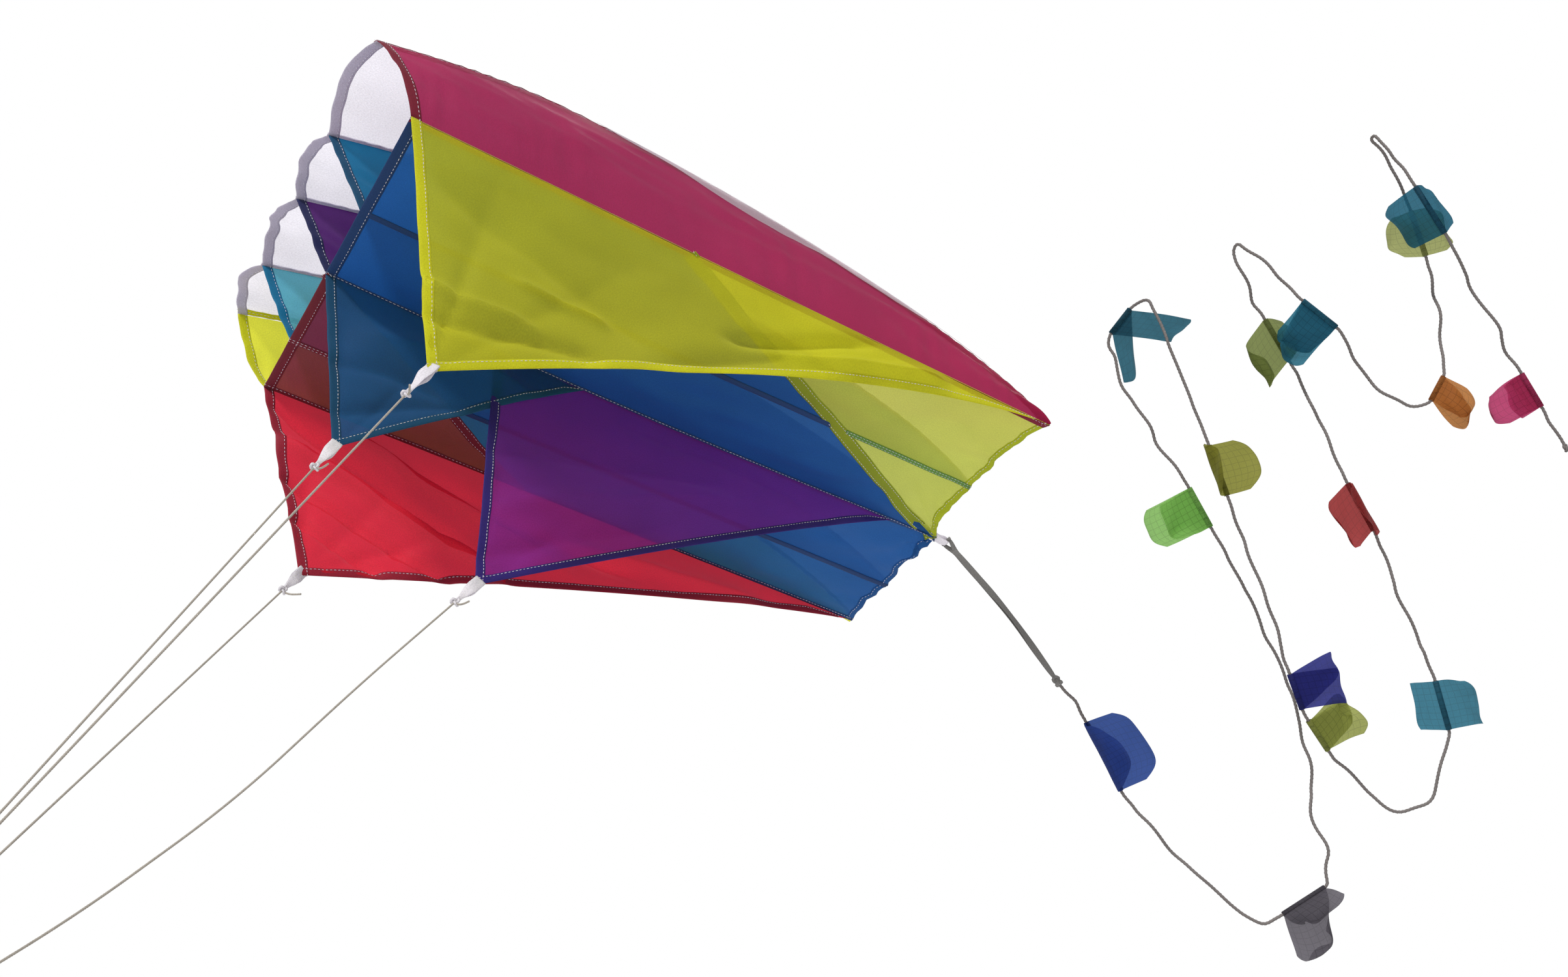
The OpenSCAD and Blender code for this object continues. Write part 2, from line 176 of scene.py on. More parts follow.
def cloth_finish(name, code, clear, through=0.5, thread=0.0008, squares=0.0):
    finish, tree = new_finish(name)
    place = add(tree, "ShaderNodeTexCoord")
    threads = 1 / waves_per_unit / thread
    waves = [add(tree, "ShaderNodeTexWave",
                 {"Vector": place.outputs["UV"], "Scale": threads, "Distortion": 0.6,
                  "Detail": 1.0}, bands_direction=way).outputs["Fac"] for way in "XY"]
    weave = calc(tree, "MULTIPLY", *waves)
    cloud = add(tree, "ShaderNodeTexNoise",
                {"Vector": place.outputs["Object"], "Scale": 14.0, "Detail": 3.0})
    slub = add(tree, "ShaderNodeTexNoise",
               {"Vector": place.outputs["UV"], "Scale": 900.0, "Detail": 2.0})
    colour = dye(code)
    deep = (*(colour * 0.80), 1)
    bright = (*[min(1, c * 1.16) for c in colour], 1)
    cloudy = add(tree, "ShaderNodeMix", {0: cloud.outputs["Fac"], 6: deep, 7: bright},
                 data_type="RGBA")
    speckle = add(tree, "ShaderNodeMapRange",
                  {"Value": slub.outputs["Fac"], "From Min": 0.3, "From Max": 0.7,
                   "To Min": 0.88, "To Max": 1.08})
    toned = add(tree, "ShaderNodeVectorMath",
                {0: cloudy.outputs[2], 1: speckle.outputs[0]}, operation="MULTIPLY")
    dyed = toned.outputs[0]
    if squares:
        lines = []
        parts = add(tree, "ShaderNodeSeparateXYZ", {0: place.outputs["UV"]})
        for axis in range(2):
            scaled = calc(tree, "MULTIPLY", parts.outputs[axis], 1 / squares)
            lines.append(calc(tree, "LESS_THAN", calc(tree, "FRACT", scaled), rib_share))
        either = calc(tree, "MAXIMUM", *lines)
        dark = (*(colour * 0.66), 1)
        checked = add(tree, "ShaderNodeMix", {0: either, 6: dyed, 7: dark},
                      data_type="RGBA")
        dyed = checked.outputs[2]
    relief = add(tree, "ShaderNodeBump",
                 {"Height": weave, "Strength": 0.25, "Distance": 0.0003})
    matt = add(tree, "ShaderNodeBsdfPrincipled",
               {"Base Color": dyed, "Roughness": 0.62, "Sheen Weight": 0.08,
                "Specular IOR Level": 0.25, "Normal": relief.outputs[0]})
    glow = add(tree, "ShaderNodeBsdfTranslucent",
               {"Color": dyed, "Normal": relief.outputs[0]})
    tint = (*[0.05 + 0.95 * c ** 0.55 for c in colour], 1)
    gaps = add(tree, "ShaderNodeBsdfTransparent", {"Color": tint})
    solid = add(tree, "ShaderNodeMixShader",
                {0: through, 1: matt.outputs[0], 2: glow.outputs[0]})
    whole = add(tree, "ShaderNodeMixShader", {0: clear, 1: solid.outputs[0], 2: gaps.outputs[0]})
    add(tree, "ShaderNodeOutputMaterial", {"Surface": whole.outputs[0]})
    return finish


# %% The cloths
# Each cloth: its finish, its dye, and the shares of light that go straight through and diffused;
# the ribbon and the tape are also of thicker thread.
cloth_table = {
    "top_white": ("cloth_white", "EAE6EE", 0.18, 0.62),
    "hem_white": ("hem_lavender", "CFC8D8", 0.0, 0.35),
    "burgundy": ("cloth_burgundy", "B41C52", 0.18),
    "hem_burgundy": ("hem_burgundy", "8A2238", 0.0, 0.35),
    "teal": ("cloth_teal", "0A76A6", 0.06),
    "hem_teal": ("hem_teal", "17587F", 0.0, 0.35),
    "purple_rib": ("cloth_violet", "541A70", 0.06),
    "hem_violet": ("hem_violet", "24285A", 0.0, 0.3),
    "sky": ("cloth_sky", "56AFCF", 0.12),
    "hem_sky": ("hem_sky", "0E7AA5", 0.0, 0.35),
    "far_yellow": ("cloth_lemon", "ECEB30", 0.15),
    "blue": ("cloth_blue", "1D5CA4", 0.09),
    "hem_blue": ("hem_navy", "1E3F73", 0.0, 0.3),
    "maroon": ("cloth_maroon", "7E2C46", 0.14),
    "green": ("cloth_lime", "D3DC55", 0.25),
    "band_olive": ("seam_olive", "A8B42E", 0.0, 0.5),
    "band_moss": ("seam_moss", "6E9A48", 0.0, 0.4),
    "hem_lime": ("hem_lime", "C9D22E", 0.0, 0.5),
    "blue_hem": ("hem_blue", "1B5CA0", 0.0, 0.4),
    "hem_maroon": ("hem_maroon", "7A2434", 0.0, 0.3),
    "yellow": ("cloth_yellow", "E2E02A", 0.34),
    "hem_yellow": ("hem_yellow", "E0DF22", 0.0, 0.45),
    "keel_blue": ("cloth_petrol", "1E5C92", 0.22),
    "hem_petrol": ("hem_petrol", "175078", 0.0, 0.35),
    "purple": ("cloth_purple", "8C34A8", 0.46),
    "hem_indigo": ("hem_indigo", "33207A", 0.0, 0.3),
    "red": ("cloth_red", "E21C36", 0.10, 0.42),
    "hem_red": ("hem_red", "A8243A", 0.0, 0.35),
    "ribbon": ("ribbon_grey", "7C7A78", 0.0, 0.2, 0.0011),
    "tape": ("tape_white", "EEEAF0", 0.0, 0.3, 0.0011),
}
cloths = {key: cloth_finish(*recipe) for key, recipe in cloth_table.items()}
print("cloths", len(cloths))

# %% [markdown]
# ## Cord and thread
# The bridle is pale laid cord, the tail hangs on a grey one, and the seams are sewn with white
# thread. Fibres are matt and slightly uneven in tone, so noise along the cord is enough.

# %% The cord recipe
def cord_finish(name, code):
    finish, tree = new_finish(name)
    place = add(tree, "ShaderNodeTexCoord")
    fibre = add(tree, "ShaderNodeTexNoise",
                {"Vector": place.outputs["Object"], "Scale": 700.0, "Detail": 3.0})
    colour = dye(code)
    toned = add(tree, "ShaderNodeMix",
                {0: fibre.outputs["Fac"], 6: (*(colour * 0.7), 1),
                 7: (*[min(1, c * 1.25) for c in colour], 1)}, data_type="RGBA")
    relief = add(tree, "ShaderNodeBump",
                 {"Height": fibre.outputs["Fac"], "Strength": 0.4, "Distance": 0.0002})
    matt = add(tree, "ShaderNodeBsdfPrincipled",
               {"Base Color": toned.outputs[2], "Roughness": 0.8,
                "Specular IOR Level": 0.2, "Normal": relief.outputs[0]})
    add(tree, "ShaderNodeOutputMaterial", {"Surface": matt.outputs[0]})
    return finish


cord_table = {"bridle": ("cord_bridle", "A39C92"), "tail": ("cord_tail", "77716F"),
              "ribbon": ("fold_grey", "7C7A78"), "thread": ("thread_white", "DDD8E2")}
cords = {key: cord_finish(*recipe) for key, recipe in cord_table.items()}

# %% [markdown]
# ## Cords laid by Geometry Nodes
# A laid cord is three strands twisted round each other. A node tree takes the cord's route,
# resamples it, tilts it evenly along its length and sweeps a three-lobed outline along it, so
# every cord here shares one recipe and differs only in its thickness and lay.

# %% The laid cord tree
def new_tree(name, inputs):
    tree = bpy.data.node_groups.new(name, "GeometryNodeTree")
    tree.interface.new_socket("Geometry", in_out="INPUT", socket_type="NodeSocketGeometry")
    keys = {}
    for label, kind in inputs.items():
        socket = tree.interface.new_socket(label, in_out="INPUT", socket_type=f"NodeSocket{kind}")
        keys[label] = socket.identifier
    tree.interface.new_socket("Geometry", in_out="OUTPUT", socket_type="NodeSocketGeometry")
    return tree, add(tree, "NodeGroupInput").outputs, keys


cord_tree, given, cord_keys = new_tree(
    "laid cord", {"Diameter": "Float", "Lay": "Float", "Ring spacing": "Float",
                  "Finish": "Material"})
line = add(cord_tree, "GeometryNodeMeshToCurve", {"Mesh": given["Geometry"]})
rings = add(cord_tree, "GeometryNodeResampleCurve",
            {"Curve": line.outputs[0], "Length": given["Ring spacing"]}, mode="LENGTH")
along = add(cord_tree, "GeometryNodeSplineParameter")
twist = calc(cord_tree, "MULTIPLY", calc(cord_tree, "DIVIDE", along.outputs["Length"],
                                         given["Lay"]), math.tau)
twisted = add(cord_tree, "GeometryNodeSetCurveTilt",
              {"Curve": rings.outputs[0], "Tilt": twist})
half = calc(cord_tree, "MULTIPLY", given["Diameter"], 0.5)
circle = add(cord_tree, "GeometryNodeCurvePrimitiveCircle",
             {"Resolution": 9, "Radius": half})
around = add(cord_tree, "GeometryNodeSplineParameter")
strands, lobe_depth = 3, 0.09
lobes = calc(cord_tree, "MULTIPLY", around.outputs["Factor"], math.tau * strands)
swing = calc(cord_tree, "MULTIPLY_ADD", calc(cord_tree, "COSINE", lobes), lobe_depth,
             1 - lobe_depth)
spot = add(cord_tree, "GeometryNodeInputPosition")
lobed = add(cord_tree, "ShaderNodeVectorMath", {0: spot.outputs[0], 1: swing},
            operation="MULTIPLY")
outline = add(cord_tree, "GeometryNodeSetPosition",
              {"Geometry": circle.outputs["Curve"], "Position": lobed.outputs[0]})
swept = add(cord_tree, "GeometryNodeCurveToMesh",
            {"Curve": twisted.outputs[0], "Profile Curve": outline.outputs[0],
             "Fill Caps": True})
whole = add(cord_tree, "GeometryNodeRealizeInstances", {"Geometry": swept.outputs[0]})
finished = add(cord_tree, "GeometryNodeSetMaterial",
               {"Geometry": whole.outputs[0], "Material": given["Finish"]})
add(cord_tree, "NodeGroupOutput", {"Geometry": finished.outputs[0]})


# %% Turning a tree's result into a plain mesh
def line_mesh(name, runs):
    points = [point for run in runs for point in run]
    edges, first = [], 0
    for run in runs:
        edges += [(first + i, first + i + 1) for i in range(len(run) - 1)]
        first += len(run)
    mesh = bpy.data.meshes.new(name)
    mesh.from_pydata(points, edges, [])
    made = bpy.data.objects.new(name, mesh)
    scene.collection.objects.link(made)
    return made


def grow(piece, tree, keys, values):
    modifier = piece.modifiers.new(tree.name, "NODES")
    modifier.node_group = tree
    for label, value in values.items():
        modifier[keys[label]] = value
    grown = piece.evaluated_get(bpy.context.evaluated_depsgraph_get())
    mesh = bpy.data.meshes.new_from_object(grown)
    piece.modifiers.clear()
    piece.data = mesh
    mesh.shade_smooth()
    return piece


def laid_cord(name, route, diameter, finish, lay=0.0045, spacing=0.0008):
    return grow(line_mesh(name, [route]), cord_tree, cord_keys,
                {"Diameter": diameter, "Lay": lay, "Ring spacing": spacing, "Finish": finish})


def settle(piece, body, slot, *nodes):
    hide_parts(*nodes)
    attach(piece, body)
    return piece


# %% [markdown]
# ## The bridle
# Four lines run from the keels to one knot. Three are taut and straight, and the rear one hangs
# in a slack bend. Their routes repeat the frame's, and the bend is rounded through its points.

# %% Routes
def mix(a, b, share):
    return a + (b - a) * share


def rounded_route(points, step=0.002, share=0.42, holds=None):
    points = [Vector(point) for point in points]
    route = [points[0]]
    reach = []
    for i in range(len(points) - 1):
        span = (points[i + 1] - points[i]).length
        held = (holds or {}).get(i)
        reach.append((span - held) * 0.46 if held else span * share)
    for i in range(1, len(points) - 1):
        cut = min(reach[i - 1], reach[i])
        back = points[i] + (points[i - 1] - points[i]).normalized() * cut
        front = points[i] + (points[i + 1] - points[i]).normalized() * cut
        pieces = max(2, math.ceil(2 * cut / step))
        for k in range(pieces + 1):
            t = k / pieces
            route.append(back.lerp(points[i], t).lerp(points[i].lerp(front, t), t))
    route.append(points[-1])
    return [p for i, p in enumerate(route) if i == 0 or (p - route[i - 1]).length > 1e-6]


def route_length(route):
    return sum((b - a).length for a, b in zip(route, route[1:]))


def low(node):
    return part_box(node)[0]


def high(node):
    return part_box(node)[1]


def middle(node):
    return (low(node) + high(node)) / 2


line_d = 0.0016
tow_point = middle("tow_knot")
slack_points = [(0.240, 0, 0.325), (0.180, 0, 0.215), (0.115, 0, 0.122), (0.060, 0, 0.055)]
for colour in ("yellow", "blue", "red", "purple"):
    between = slack_points if colour == "purple" else []
    route = rounded_route([middle(f"knot_{colour}"), *between, tow_point])
    line = laid_cord(f"line_{colour}", route, line_d, cords["bridle"])
    settle(line, "kite", "bridle_cord", f"bridle_{colour}")
    print("bridle line", colour, round(route_length(route), 3), "m")

# %% [markdown]
# ## The tail line
# The tail is one long cord that the wind has folded back and forth. Between the bows it bends
# freely, and where a bow's sleeve holds it, it stays straight.

# %% The tail line
tail_points = [
    (920, 20, 570), (975, 40, 510), (1030, 42, 465), (1100, 37, 420), (1115, 30, 415),
    (1125, 20, 420), (1153, -20, 440), (1145, -32, 465), (1125, -45, 500), (1125, -60, 530),
    (1087, -90, 603), (1020, -120, 675), (975, -137, 708), (940, -150, 738), (868, -165, 813),
    (842, -177, 853), (840, -185, 861), (849, -211, 881), (853, -229, 882), (866, -227, 846),
    (916, -200, 774), (930, -193, 754), (958, -177, 706), (1013, -146, 627), (1047, -122, 579),
    (1073, -106, 549), (1114, -93, 524), (1143, -90, 515), (1181, -88, 485), (1209, -117, 494),
    (1206, -130, 510), (1204, -160, 542), (1177, -181, 582), (1111, -215, 664),
    (1093, -226, 688), (1055, -239, 728), (1011, -259, 796), (989, -267, 826), (953, -278, 864),
    (904, -300, 907), (902, -310, 910), (920, -314, 895), (957, -318, 852), (999, -321, 828),
    (1040, -302, 798), (1088, -312, 777), (1098, -324, 781), (1102, -346, 801),
    (1096, -361, 835), (1072, -392, 905), (1043, -412, 947), (1010, -428, 972),
    (978, -435, 981), (975, -443, 980), (1011, -439, 932), (1054, -427, 888),
    (1088, -412, 864), (1159, -387, 801), (1188, -378, 771), (1216, -369, 742)]
# Each bow: the tail point where its stretch starts, its length, and two flaps, each with its
# reach, its turn about the line, its curl, its slide along the line and its widening.
bow_table = [
    (0, 70, (45, -129, 50, 4, 0), (60, 1, -110, -6, -0.2)),
    (5, 46, (58, 57, -60, -12, 0.2), (28, -33, 30, 8, 0.3)),
    (12, 42, (38, -63, -10, 0, 0), (54, -88, 25, 0, 0)),
    (16, 30, (58, 40, 30, 34, 0), (42, 70, -40, -38, -0.3)),
    (21, 50, (36, -109, 40, 3, 0), (36, 36, -130, 0, 0)),
    (24, 34, (45, -83, 20, 4, 0), (44, -113, 30, -14, -0.2)),
    (25, 34, (42, -116, 15, 2, 0.2), (38, -96, -20, -14, 0)),
    (31, 46, (34, 84, -40, 0, 0), (22, -96, -20, 4, 0)),
    (34, 50, (34, -91, 60, -14, 0.1), (42, 39, -110, -6, 0)),
    (37, 46, (50, -80, 70, -22, 0), (14, 100, -30, 0, -0.3)),
    (42, 40, (42, 53, 25, 0, 0), (54, 78, -20, 6, -0.3)),
    (46, 26, (46, 72, -50, -16, 0.4), (40, 12, 20, -10, 0.2)),
    (49, 46, (34, 83, -50, -4, 0), (30, -97, 20, 4, -0.2)),
    (54, 52, (42, 80, 50, 0, -0.1), (12, -95, 30, 0, -0.2)),
    (57, 36, (46, 91, -100, 0, 0), (30, 76, 70, 4, 0))]
MM = 0.001
tail_d = 0.003
tail_fullness = 1.12
tail_lay = 0.011
yoke_knot = middle("yoke_knot")
knot_r = (high("yoke_knot").x - low("yoke_knot").x) / 2
tail_way = (Vector(tail_points[0]) * MM - yoke_knot).normalized()
tail_start = yoke_knot + tail_way * (knot_r + 0.0003)
tail_route = rounded_route(
    [tail_start, *[Vector(point) * MM for point in tail_points]], share=0.45,
    holds={row[0] + 1: row[1] * MM for row in bow_table})

# Between the bows the limp line wanders by a few millimetres; inside a sleeve it is straight.
bow_places = [((Vector(tail_points[row[0]]) + Vector(tail_points[row[0] + 1])) / 2 * MM,
               row[1] * MM) for row in bow_table]


def along_route(route, count):
    total = route_length(route)
    points, i, run = [], 0, 0.0
    for k in range(count + 1):
        want = total * k / count
        while i < len(route) - 2 and run + (route[i + 1] - route[i]).length < want:
            run += (route[i + 1] - route[i]).length
            i += 1
        span = (route[i + 1] - route[i]).length
        points.append(route[i].lerp(route[i + 1], min(1, (want - run) / span)))
    return points


def wander(point, run, total):
    free = min((point - centre).length - span / 2 - 0.003 for centre, span in bow_places)
    hold = smooth_step(free / 0.02) * smooth_step(min(run, total - run) / 0.03)
    waves = [noise.noise(Vector((run / 0.034, 9.0 * axis, 0))) for axis in range(3)]
    return point + Vector(waves) * 0.0065 * hold


def smooth_step(value):
    value = min(1, max(0, value))
    return value * value * (3 - 2 * value)


tail_steps = 900
tail_total = route_length(tail_route)
tail_route = [wander(point, tail_total * i / tail_steps, tail_total)
              for i, point in enumerate(along_route(tail_route, tail_steps))]
tail_line = laid_cord("tail_cord", tail_route, tail_d * tail_fullness, cords["tail"],
                      lay=tail_lay, spacing=0.0016)
settle(tail_line, "tail", "tail_cord", "tail_line")
print("tail line", round(route_length(tail_route), 3), "m")

# %% [markdown]
# ## Making cloth
# A cell's cloth is one thin layer, so each panel is a single curved grid. A place function gives
# the point for two shares of the panel, and a flat function gives where that point lay on the
# cutting table, which becomes the UV map, so the weave keeps its size. Panels with slanting seams
# are cut from a flat grid instead, and then lifted into shape.

# %% Cloth helpers
def map_cloth(bm, spot):
    uv = bm.loops.layers.uv.new("cloth")
    for face in bm.faces:
        for loop in face.loops:
            loop[uv].uv = spot(loop.vert)


def own_mesh(name, bm, finish):
    mesh = bpy.data.meshes.new(name)
    bm.to_mesh(mesh)
    bm.free()
    mesh.shade_smooth()
    mesh.materials.append(finish)
    made = bpy.data.objects.new(name, mesh)
    scene.collection.objects.link(made)
    return made


def cloth_grid(name, place, flat, rows, cols, finish, turned=False):
    bm = bmesh.new()
    shares = [(i / rows, j / cols) for i in range(rows + 1) for j in range(cols + 1)]
    corners = [bm.verts.new(place(u, v)) for u, v in shares]
    spots = {corner: flat(u, v) for corner, (u, v) in zip(corners, shares)}
    for i in range(rows):
        for j in range(cols):
            a = i * (cols + 1) + j
            ring = [corners[k] for k in (a, a + 1, a + cols + 2, a + cols + 1)]
            bm.faces.new(ring[::-1] if turned else ring)
    map_cloth(bm, spots.get)
    bmesh.ops.remove_doubles(bm, verts=bm.verts, dist=2e-5)
    return own_mesh(name, bm, finish)


def cut_cloth(name, outline, lift, step, finish):
    bm = bmesh.new()
    corners = [Vector((x, y, 0)) for x, y in outline]
    least = Vector((min(c.x for c in corners), min(c.y for c in corners), 0))
    most = Vector((max(c.x for c in corners), max(c.y for c in corners), 0))
    count = [max(2, math.ceil(side / step)) for side in (most - least).xy]
    bmesh.ops.create_grid(bm, x_segments=count[0], y_segments=count[1], size=0.5)
    for vert in bm.verts:
        vert.co = (least + most) / 2 + Vector((vert.co.x * (most.x - least.x),
                                              vert.co.y * (most.y - least.y), 0))
    for start, end in zip(corners, corners[1:] + corners[:1]):
        out = Vector(((end - start).y, -(end - start).x, 0))
        bmesh.ops.bisect_plane(bm, geom=[*bm.verts, *bm.edges, *bm.faces], dist=1e-6,
                               plane_co=start, plane_no=out, clear_outer=True)
    bmesh.ops.triangulate(bm, faces=[face for face in bm.faces if len(face.verts) > 4])
    bmesh.ops.reverse_faces(bm, faces=bm.faces)
    map_cloth(bm, lambda vert: vert.co.xy)
    for vert in bm.verts:
        vert.co = lift(vert.co.x, vert.co.y)
    return own_mesh(name, bm, finish)


# %% [markdown]
# ## The shape of the wind
# The lower skin hangs a little between its seams, the upper skin swells between the ribs, and the
# outer ribs are pressed outwards. Each of these is one small formula, and every piece that meets
# another asks the same formula for its edge, so seams stay closed.

# %% The canopy's measures
lead_x = low("bottom_panel_blue").x
trail_x = high("bottom_panel_blue").x
skin_z = high("bottom_panel_blue").z
chord = trail_x - lead_x
seams = [low(f"top_panel_{cell}").y for cell in (1, 2, 3, 4)] + [high("top_panel_4").y]
mouth_lead = lead_x - low("top_panel_1").x
cell_h = high("rib_teal").z - skin_z
mouth_h = 0.072
crown_x = 0.130
top_swell = 0.009
outer_swell = 0.013
centre_dip = 0.006
belly = 0.004
cell_fall = 2
cell_bluntness = 0.7
skin_gap = 0.0003
print("chord", round(chord, 3), "seams", [round(y, 3) for y in seams])


def cell_height(x):
    if x < crown_x:
        return mouth_h + (cell_h - mouth_h) * math.sin(
            math.pi / 2 * (x + mouth_lead) / (crown_x + mouth_lead))
    back = (x - crown_x) / (chord - crown_x)
    return cell_h * max(0, 1 - back ** cell_fall) ** cell_bluntness


def ruffle(x, y, z, size, depth):
    return depth * noise.noise(Vector((x, y, z)) / size)


def cell_share(y):
    for near, far in zip(seams, seams[1:]):
        if y <= far or far == seams[-1]:
            return min(1, max(0, (y - near) / (far - near)))


def skin_height(x, y):
    along = min(1, max(0, (x - lead_x) / chord))
    bulge = math.sin(math.pi * cell_share(y)) * mix(0.3, 1, smooth_step(along * 6))
    dip = centre_dip * math.sin(math.pi * along) * math.exp(-(y / 0.06) ** 2)
    creases = ruffle(x * 0.7 + y, y * 2.2, 0, 0.04, 0.0042) * bulge
    gather = 0.0035 * math.exp(-((x - trail_x) ** 2 + y * y) / 0.05 ** 2)
    spokes = math.sin(9 * math.atan2(y, trail_x + 0.004 - x))
    return skin_z - dip - belly * bulge + creases + gather * spokes


def trail_scallop(along, y):
    hollow = 0.006 * math.sin(math.pi * cell_share(y))
    if seams[0] < y < 0:
        hollow += 0.012 * math.sin(math.pi * y / seams[0]) ** 0.6
    ends = min(1, 20 * (y - seams[0]), 20 * (seams[-1] - y), 40 * abs(y))
    crumple = ruffle(y, 3, 0, 0.011, 0.005) * max(0, ends)
    return -(hollow + crumple) * smooth_step((along - 0.86) / 0.14)


def skin_point(x, y):
    along = (x - lead_x) / chord
    return Vector((x + trail_scallop(along, y), y, skin_height(x, y) - skin_gap))


# %% [markdown]
# ## The upper skin
# Four white panels run from mouth to trailing edge. Between the ribs each one stands up in a soft
# arch, and near the seams it puckers where the stitching shortens it. The far mouths, which the
# wind fills less well, have more restless lips.

# %% The upper skin
def chord_share(u):
    return (1 - math.cos(math.pi * u)) / 2


def top_place(cell):
    near, far = seams[cell - 1], seams[cell]

    def place(u, v):
        share = chord_share(u)
        x = mix(-mouth_lead, chord, share)
        arch = math.sin(math.pi * v)
        height = cell_height(x)
        swell = top_swell * arch * min(1, 1.6 * height / cell_h)
        y = mix(near, far, v)
        edge = (1 - arch) ** 2
        pucker = 0.0008 * edge * math.sin(math.tau * x / 0.013 + cell) * min(1, 10 * share)
        lip = math.exp(-share / 0.03) * (0.2 + 0.8 * (cell > 1))
        restless = ruffle(x, y * 3, cell, 0.035, 0.004) * lip * min(1, 3 * arch)
        front = 0.010 * arch * math.exp(-share / 0.02)
        rear = smooth_step((share - 0.8) / 0.2)
        low_z = (skin_height(lead_x + x, y) - skin_z) * rear
        soft = ruffle(x * 0.6, y, cell * 3, 0.05, 0.002) * arch * (1 - rear)
        return Vector((lead_x + x + trail_scallop(share, y) + restless - front, y,
                       skin_z + height + swell + pucker + soft + restless + front * 0.5
                       + low_z + skin_gap))
    return place


for cell in (1, 2, 3, 4):
    place = top_place(cell)
    width = seams[cell] - seams[cell - 1]
    panel = cloth_grid(f"top_skin_{cell}", place,
                       lambda u, v: (chord_share(u) * chord, v * width), 150, 28,
                       cloths["top_white"], turned=True)
    settle(panel, "kite", "top_white", f"top_panel_{cell}")
    print("top panel", cell, round(width, 3), "by", round(chord + mouth_lead, 3))

# %% [markdown]
# ## The ribs
# A rib is an upright profile of cloth that ties the two skins together. The three inner ones
# stand between equal pressures and stay flat, apart from a slow wave. The two outer ones have
# still air on one side only, so they belly outwards along their whole length.

# %% The ribs
def rib_place(seam, out=0):
    def place(u, v):
        share = chord_share(u)
        x = mix(-mouth_lead * v, chord, share)
        top_x = mix(-mouth_lead, chord, share)
        height = cell_height(top_x)
        low_z = skin_height(lead_x + max(0, x), seams[seam])
        z = mix(low_z, skin_z + height, v) if height > 1e-4 else low_z
        arch = math.sin(math.pi * v)
        slow = ruffle(x, seam * 5.0, z, 0.11, 0.004) * arch
        creases = ruffle(x * 0.5 + z, seam * 2.0, z * 2, 0.026, 0.0030) * arch
        bulge = out * outer_swell * arch ** 0.85 * (height / cell_h) ** 0.75
        shift = 6 * noise.noise(Vector((x, 0, 0)) * 20)
        gathers = math.sin(math.tau * (x + 0.3 * z) / 0.023 + shift)
        uneven = max(0, noise.noise(Vector((x * 14, seam, 5))) + 0.25)
        fan = 0.0050 * out * gathers * uneven * (1 - v) ** 2 * arch
        x += trail_scallop(share, seams[seam]) if 0 < seam < 4 else 0
        return Vector((lead_x + x, seams[seam] + bulge + slow + creases + fan, z))
    return place


def rib_flat(u, v):
    return chord_share(u) * chord, v * cell_h


ribs = [("burgundy", "burgundy", -1), ("teal", "teal", 0), ("purple", "purple_rib", 0),
        ("sky", "sky", 0), ("yellow", "far_yellow", 1)]
rib_places = []
for seam, (colour, cloth, out) in enumerate(ribs):
    rib_places.append(rib_place(seam, out))
    rib = cloth_grid(f"rib_cloth_{colour}", rib_places[-1], rib_flat, 140, 26,
                     cloths[cloth], turned=out > 0)
    settle(rib, "kite", f"rib_{colour}", f"rib_{colour}")
    print("rib", colour, "bulges", out * outer_swell)

# %% [markdown]
# Behind the crown of the near cell the pressure rolls the white cloth a little over the seam, so
# a narrow sliver of it lies outside the burgundy rib.

# %% The rolled seam
def rolled_place(u, v):
    share = mix(0.36, 0.80, u)
    down = 0.30 * v * math.sin(math.pi * u) ** 0.7
    return rib_places[0](share, 1 - down) + Vector((0, -0.0010 - 0.0008 * v * (1 - v), 0.0006))


rolled = cloth_grid("rolled_seam", rolled_place, lambda u, v: (u * 0.3, v * 0.03), 70, 10,
                    cloths["top_white"])
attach(rolled, "kite")
print("rolled seam", round(route_length([rolled_place(k / 30, 0) for k in range(31)]), 3), "m")


# %% [markdown]
# ## The lower skin
# The lower skin is one layer of three coloured pieces. Two slanting seams join them, so each
# piece is cut out of a flat grid along its own outline and then lifted onto the shape of the
# wind.

# %% The lower skin
rear_corner_x = low("bottom_panel_green").x
front_corner_x = high("bottom_panel_red").x
near_front, near_corner, near_rear = [(x, seams[0]) for x in (lead_x, rear_corner_x, trail_x)]
far_front, far_corner, far_rear = [(x, seams[4]) for x in (lead_x, front_corner_x, trail_x)]
centre_front, centre_rear = (lead_x, 0), (trail_x, 0)
skin_outlines = {
    "blue": [near_front, near_corner, centre_rear, far_rear, far_corner, centre_front],
    "red": [centre_front, far_corner, far_front],
    "green": [near_corner, near_rear, centre_rear],
}
skin_cloths = {"blue": "blue", "red": "maroon", "green": "green"}


def outline_area(outline):
    turns = zip(outline, outline[1:] + outline[:1])
    return abs(sum(a[0] * b[1] - b[0] * a[1] for a, b in turns)) / 2


for colour, outline in skin_outlines.items():
    panel = cut_cloth(f"lower_skin_{colour}", outline, skin_point, 0.005,
                      cloths[skin_cloths[colour]])
    settle(panel, "kite", f"bottom_{colour}", f"bottom_panel_{colour}")
    outline_area(outline)
    print("lower skin", colour, round(outline_area(outline), 4), "m2")

# %% [markdown]
# ## The keels
# Each keel is a triangle sewn along a seam, and its free corner takes one bridle line. The pull
# spreads from that corner, so the creases are spokes round it: they start at nothing in the
# corner and at the seam, and are deepest a hand's breadth away.

# %% The keels
def ridge(angle):
    return (1 - abs(math.sin(angle))) ** 2


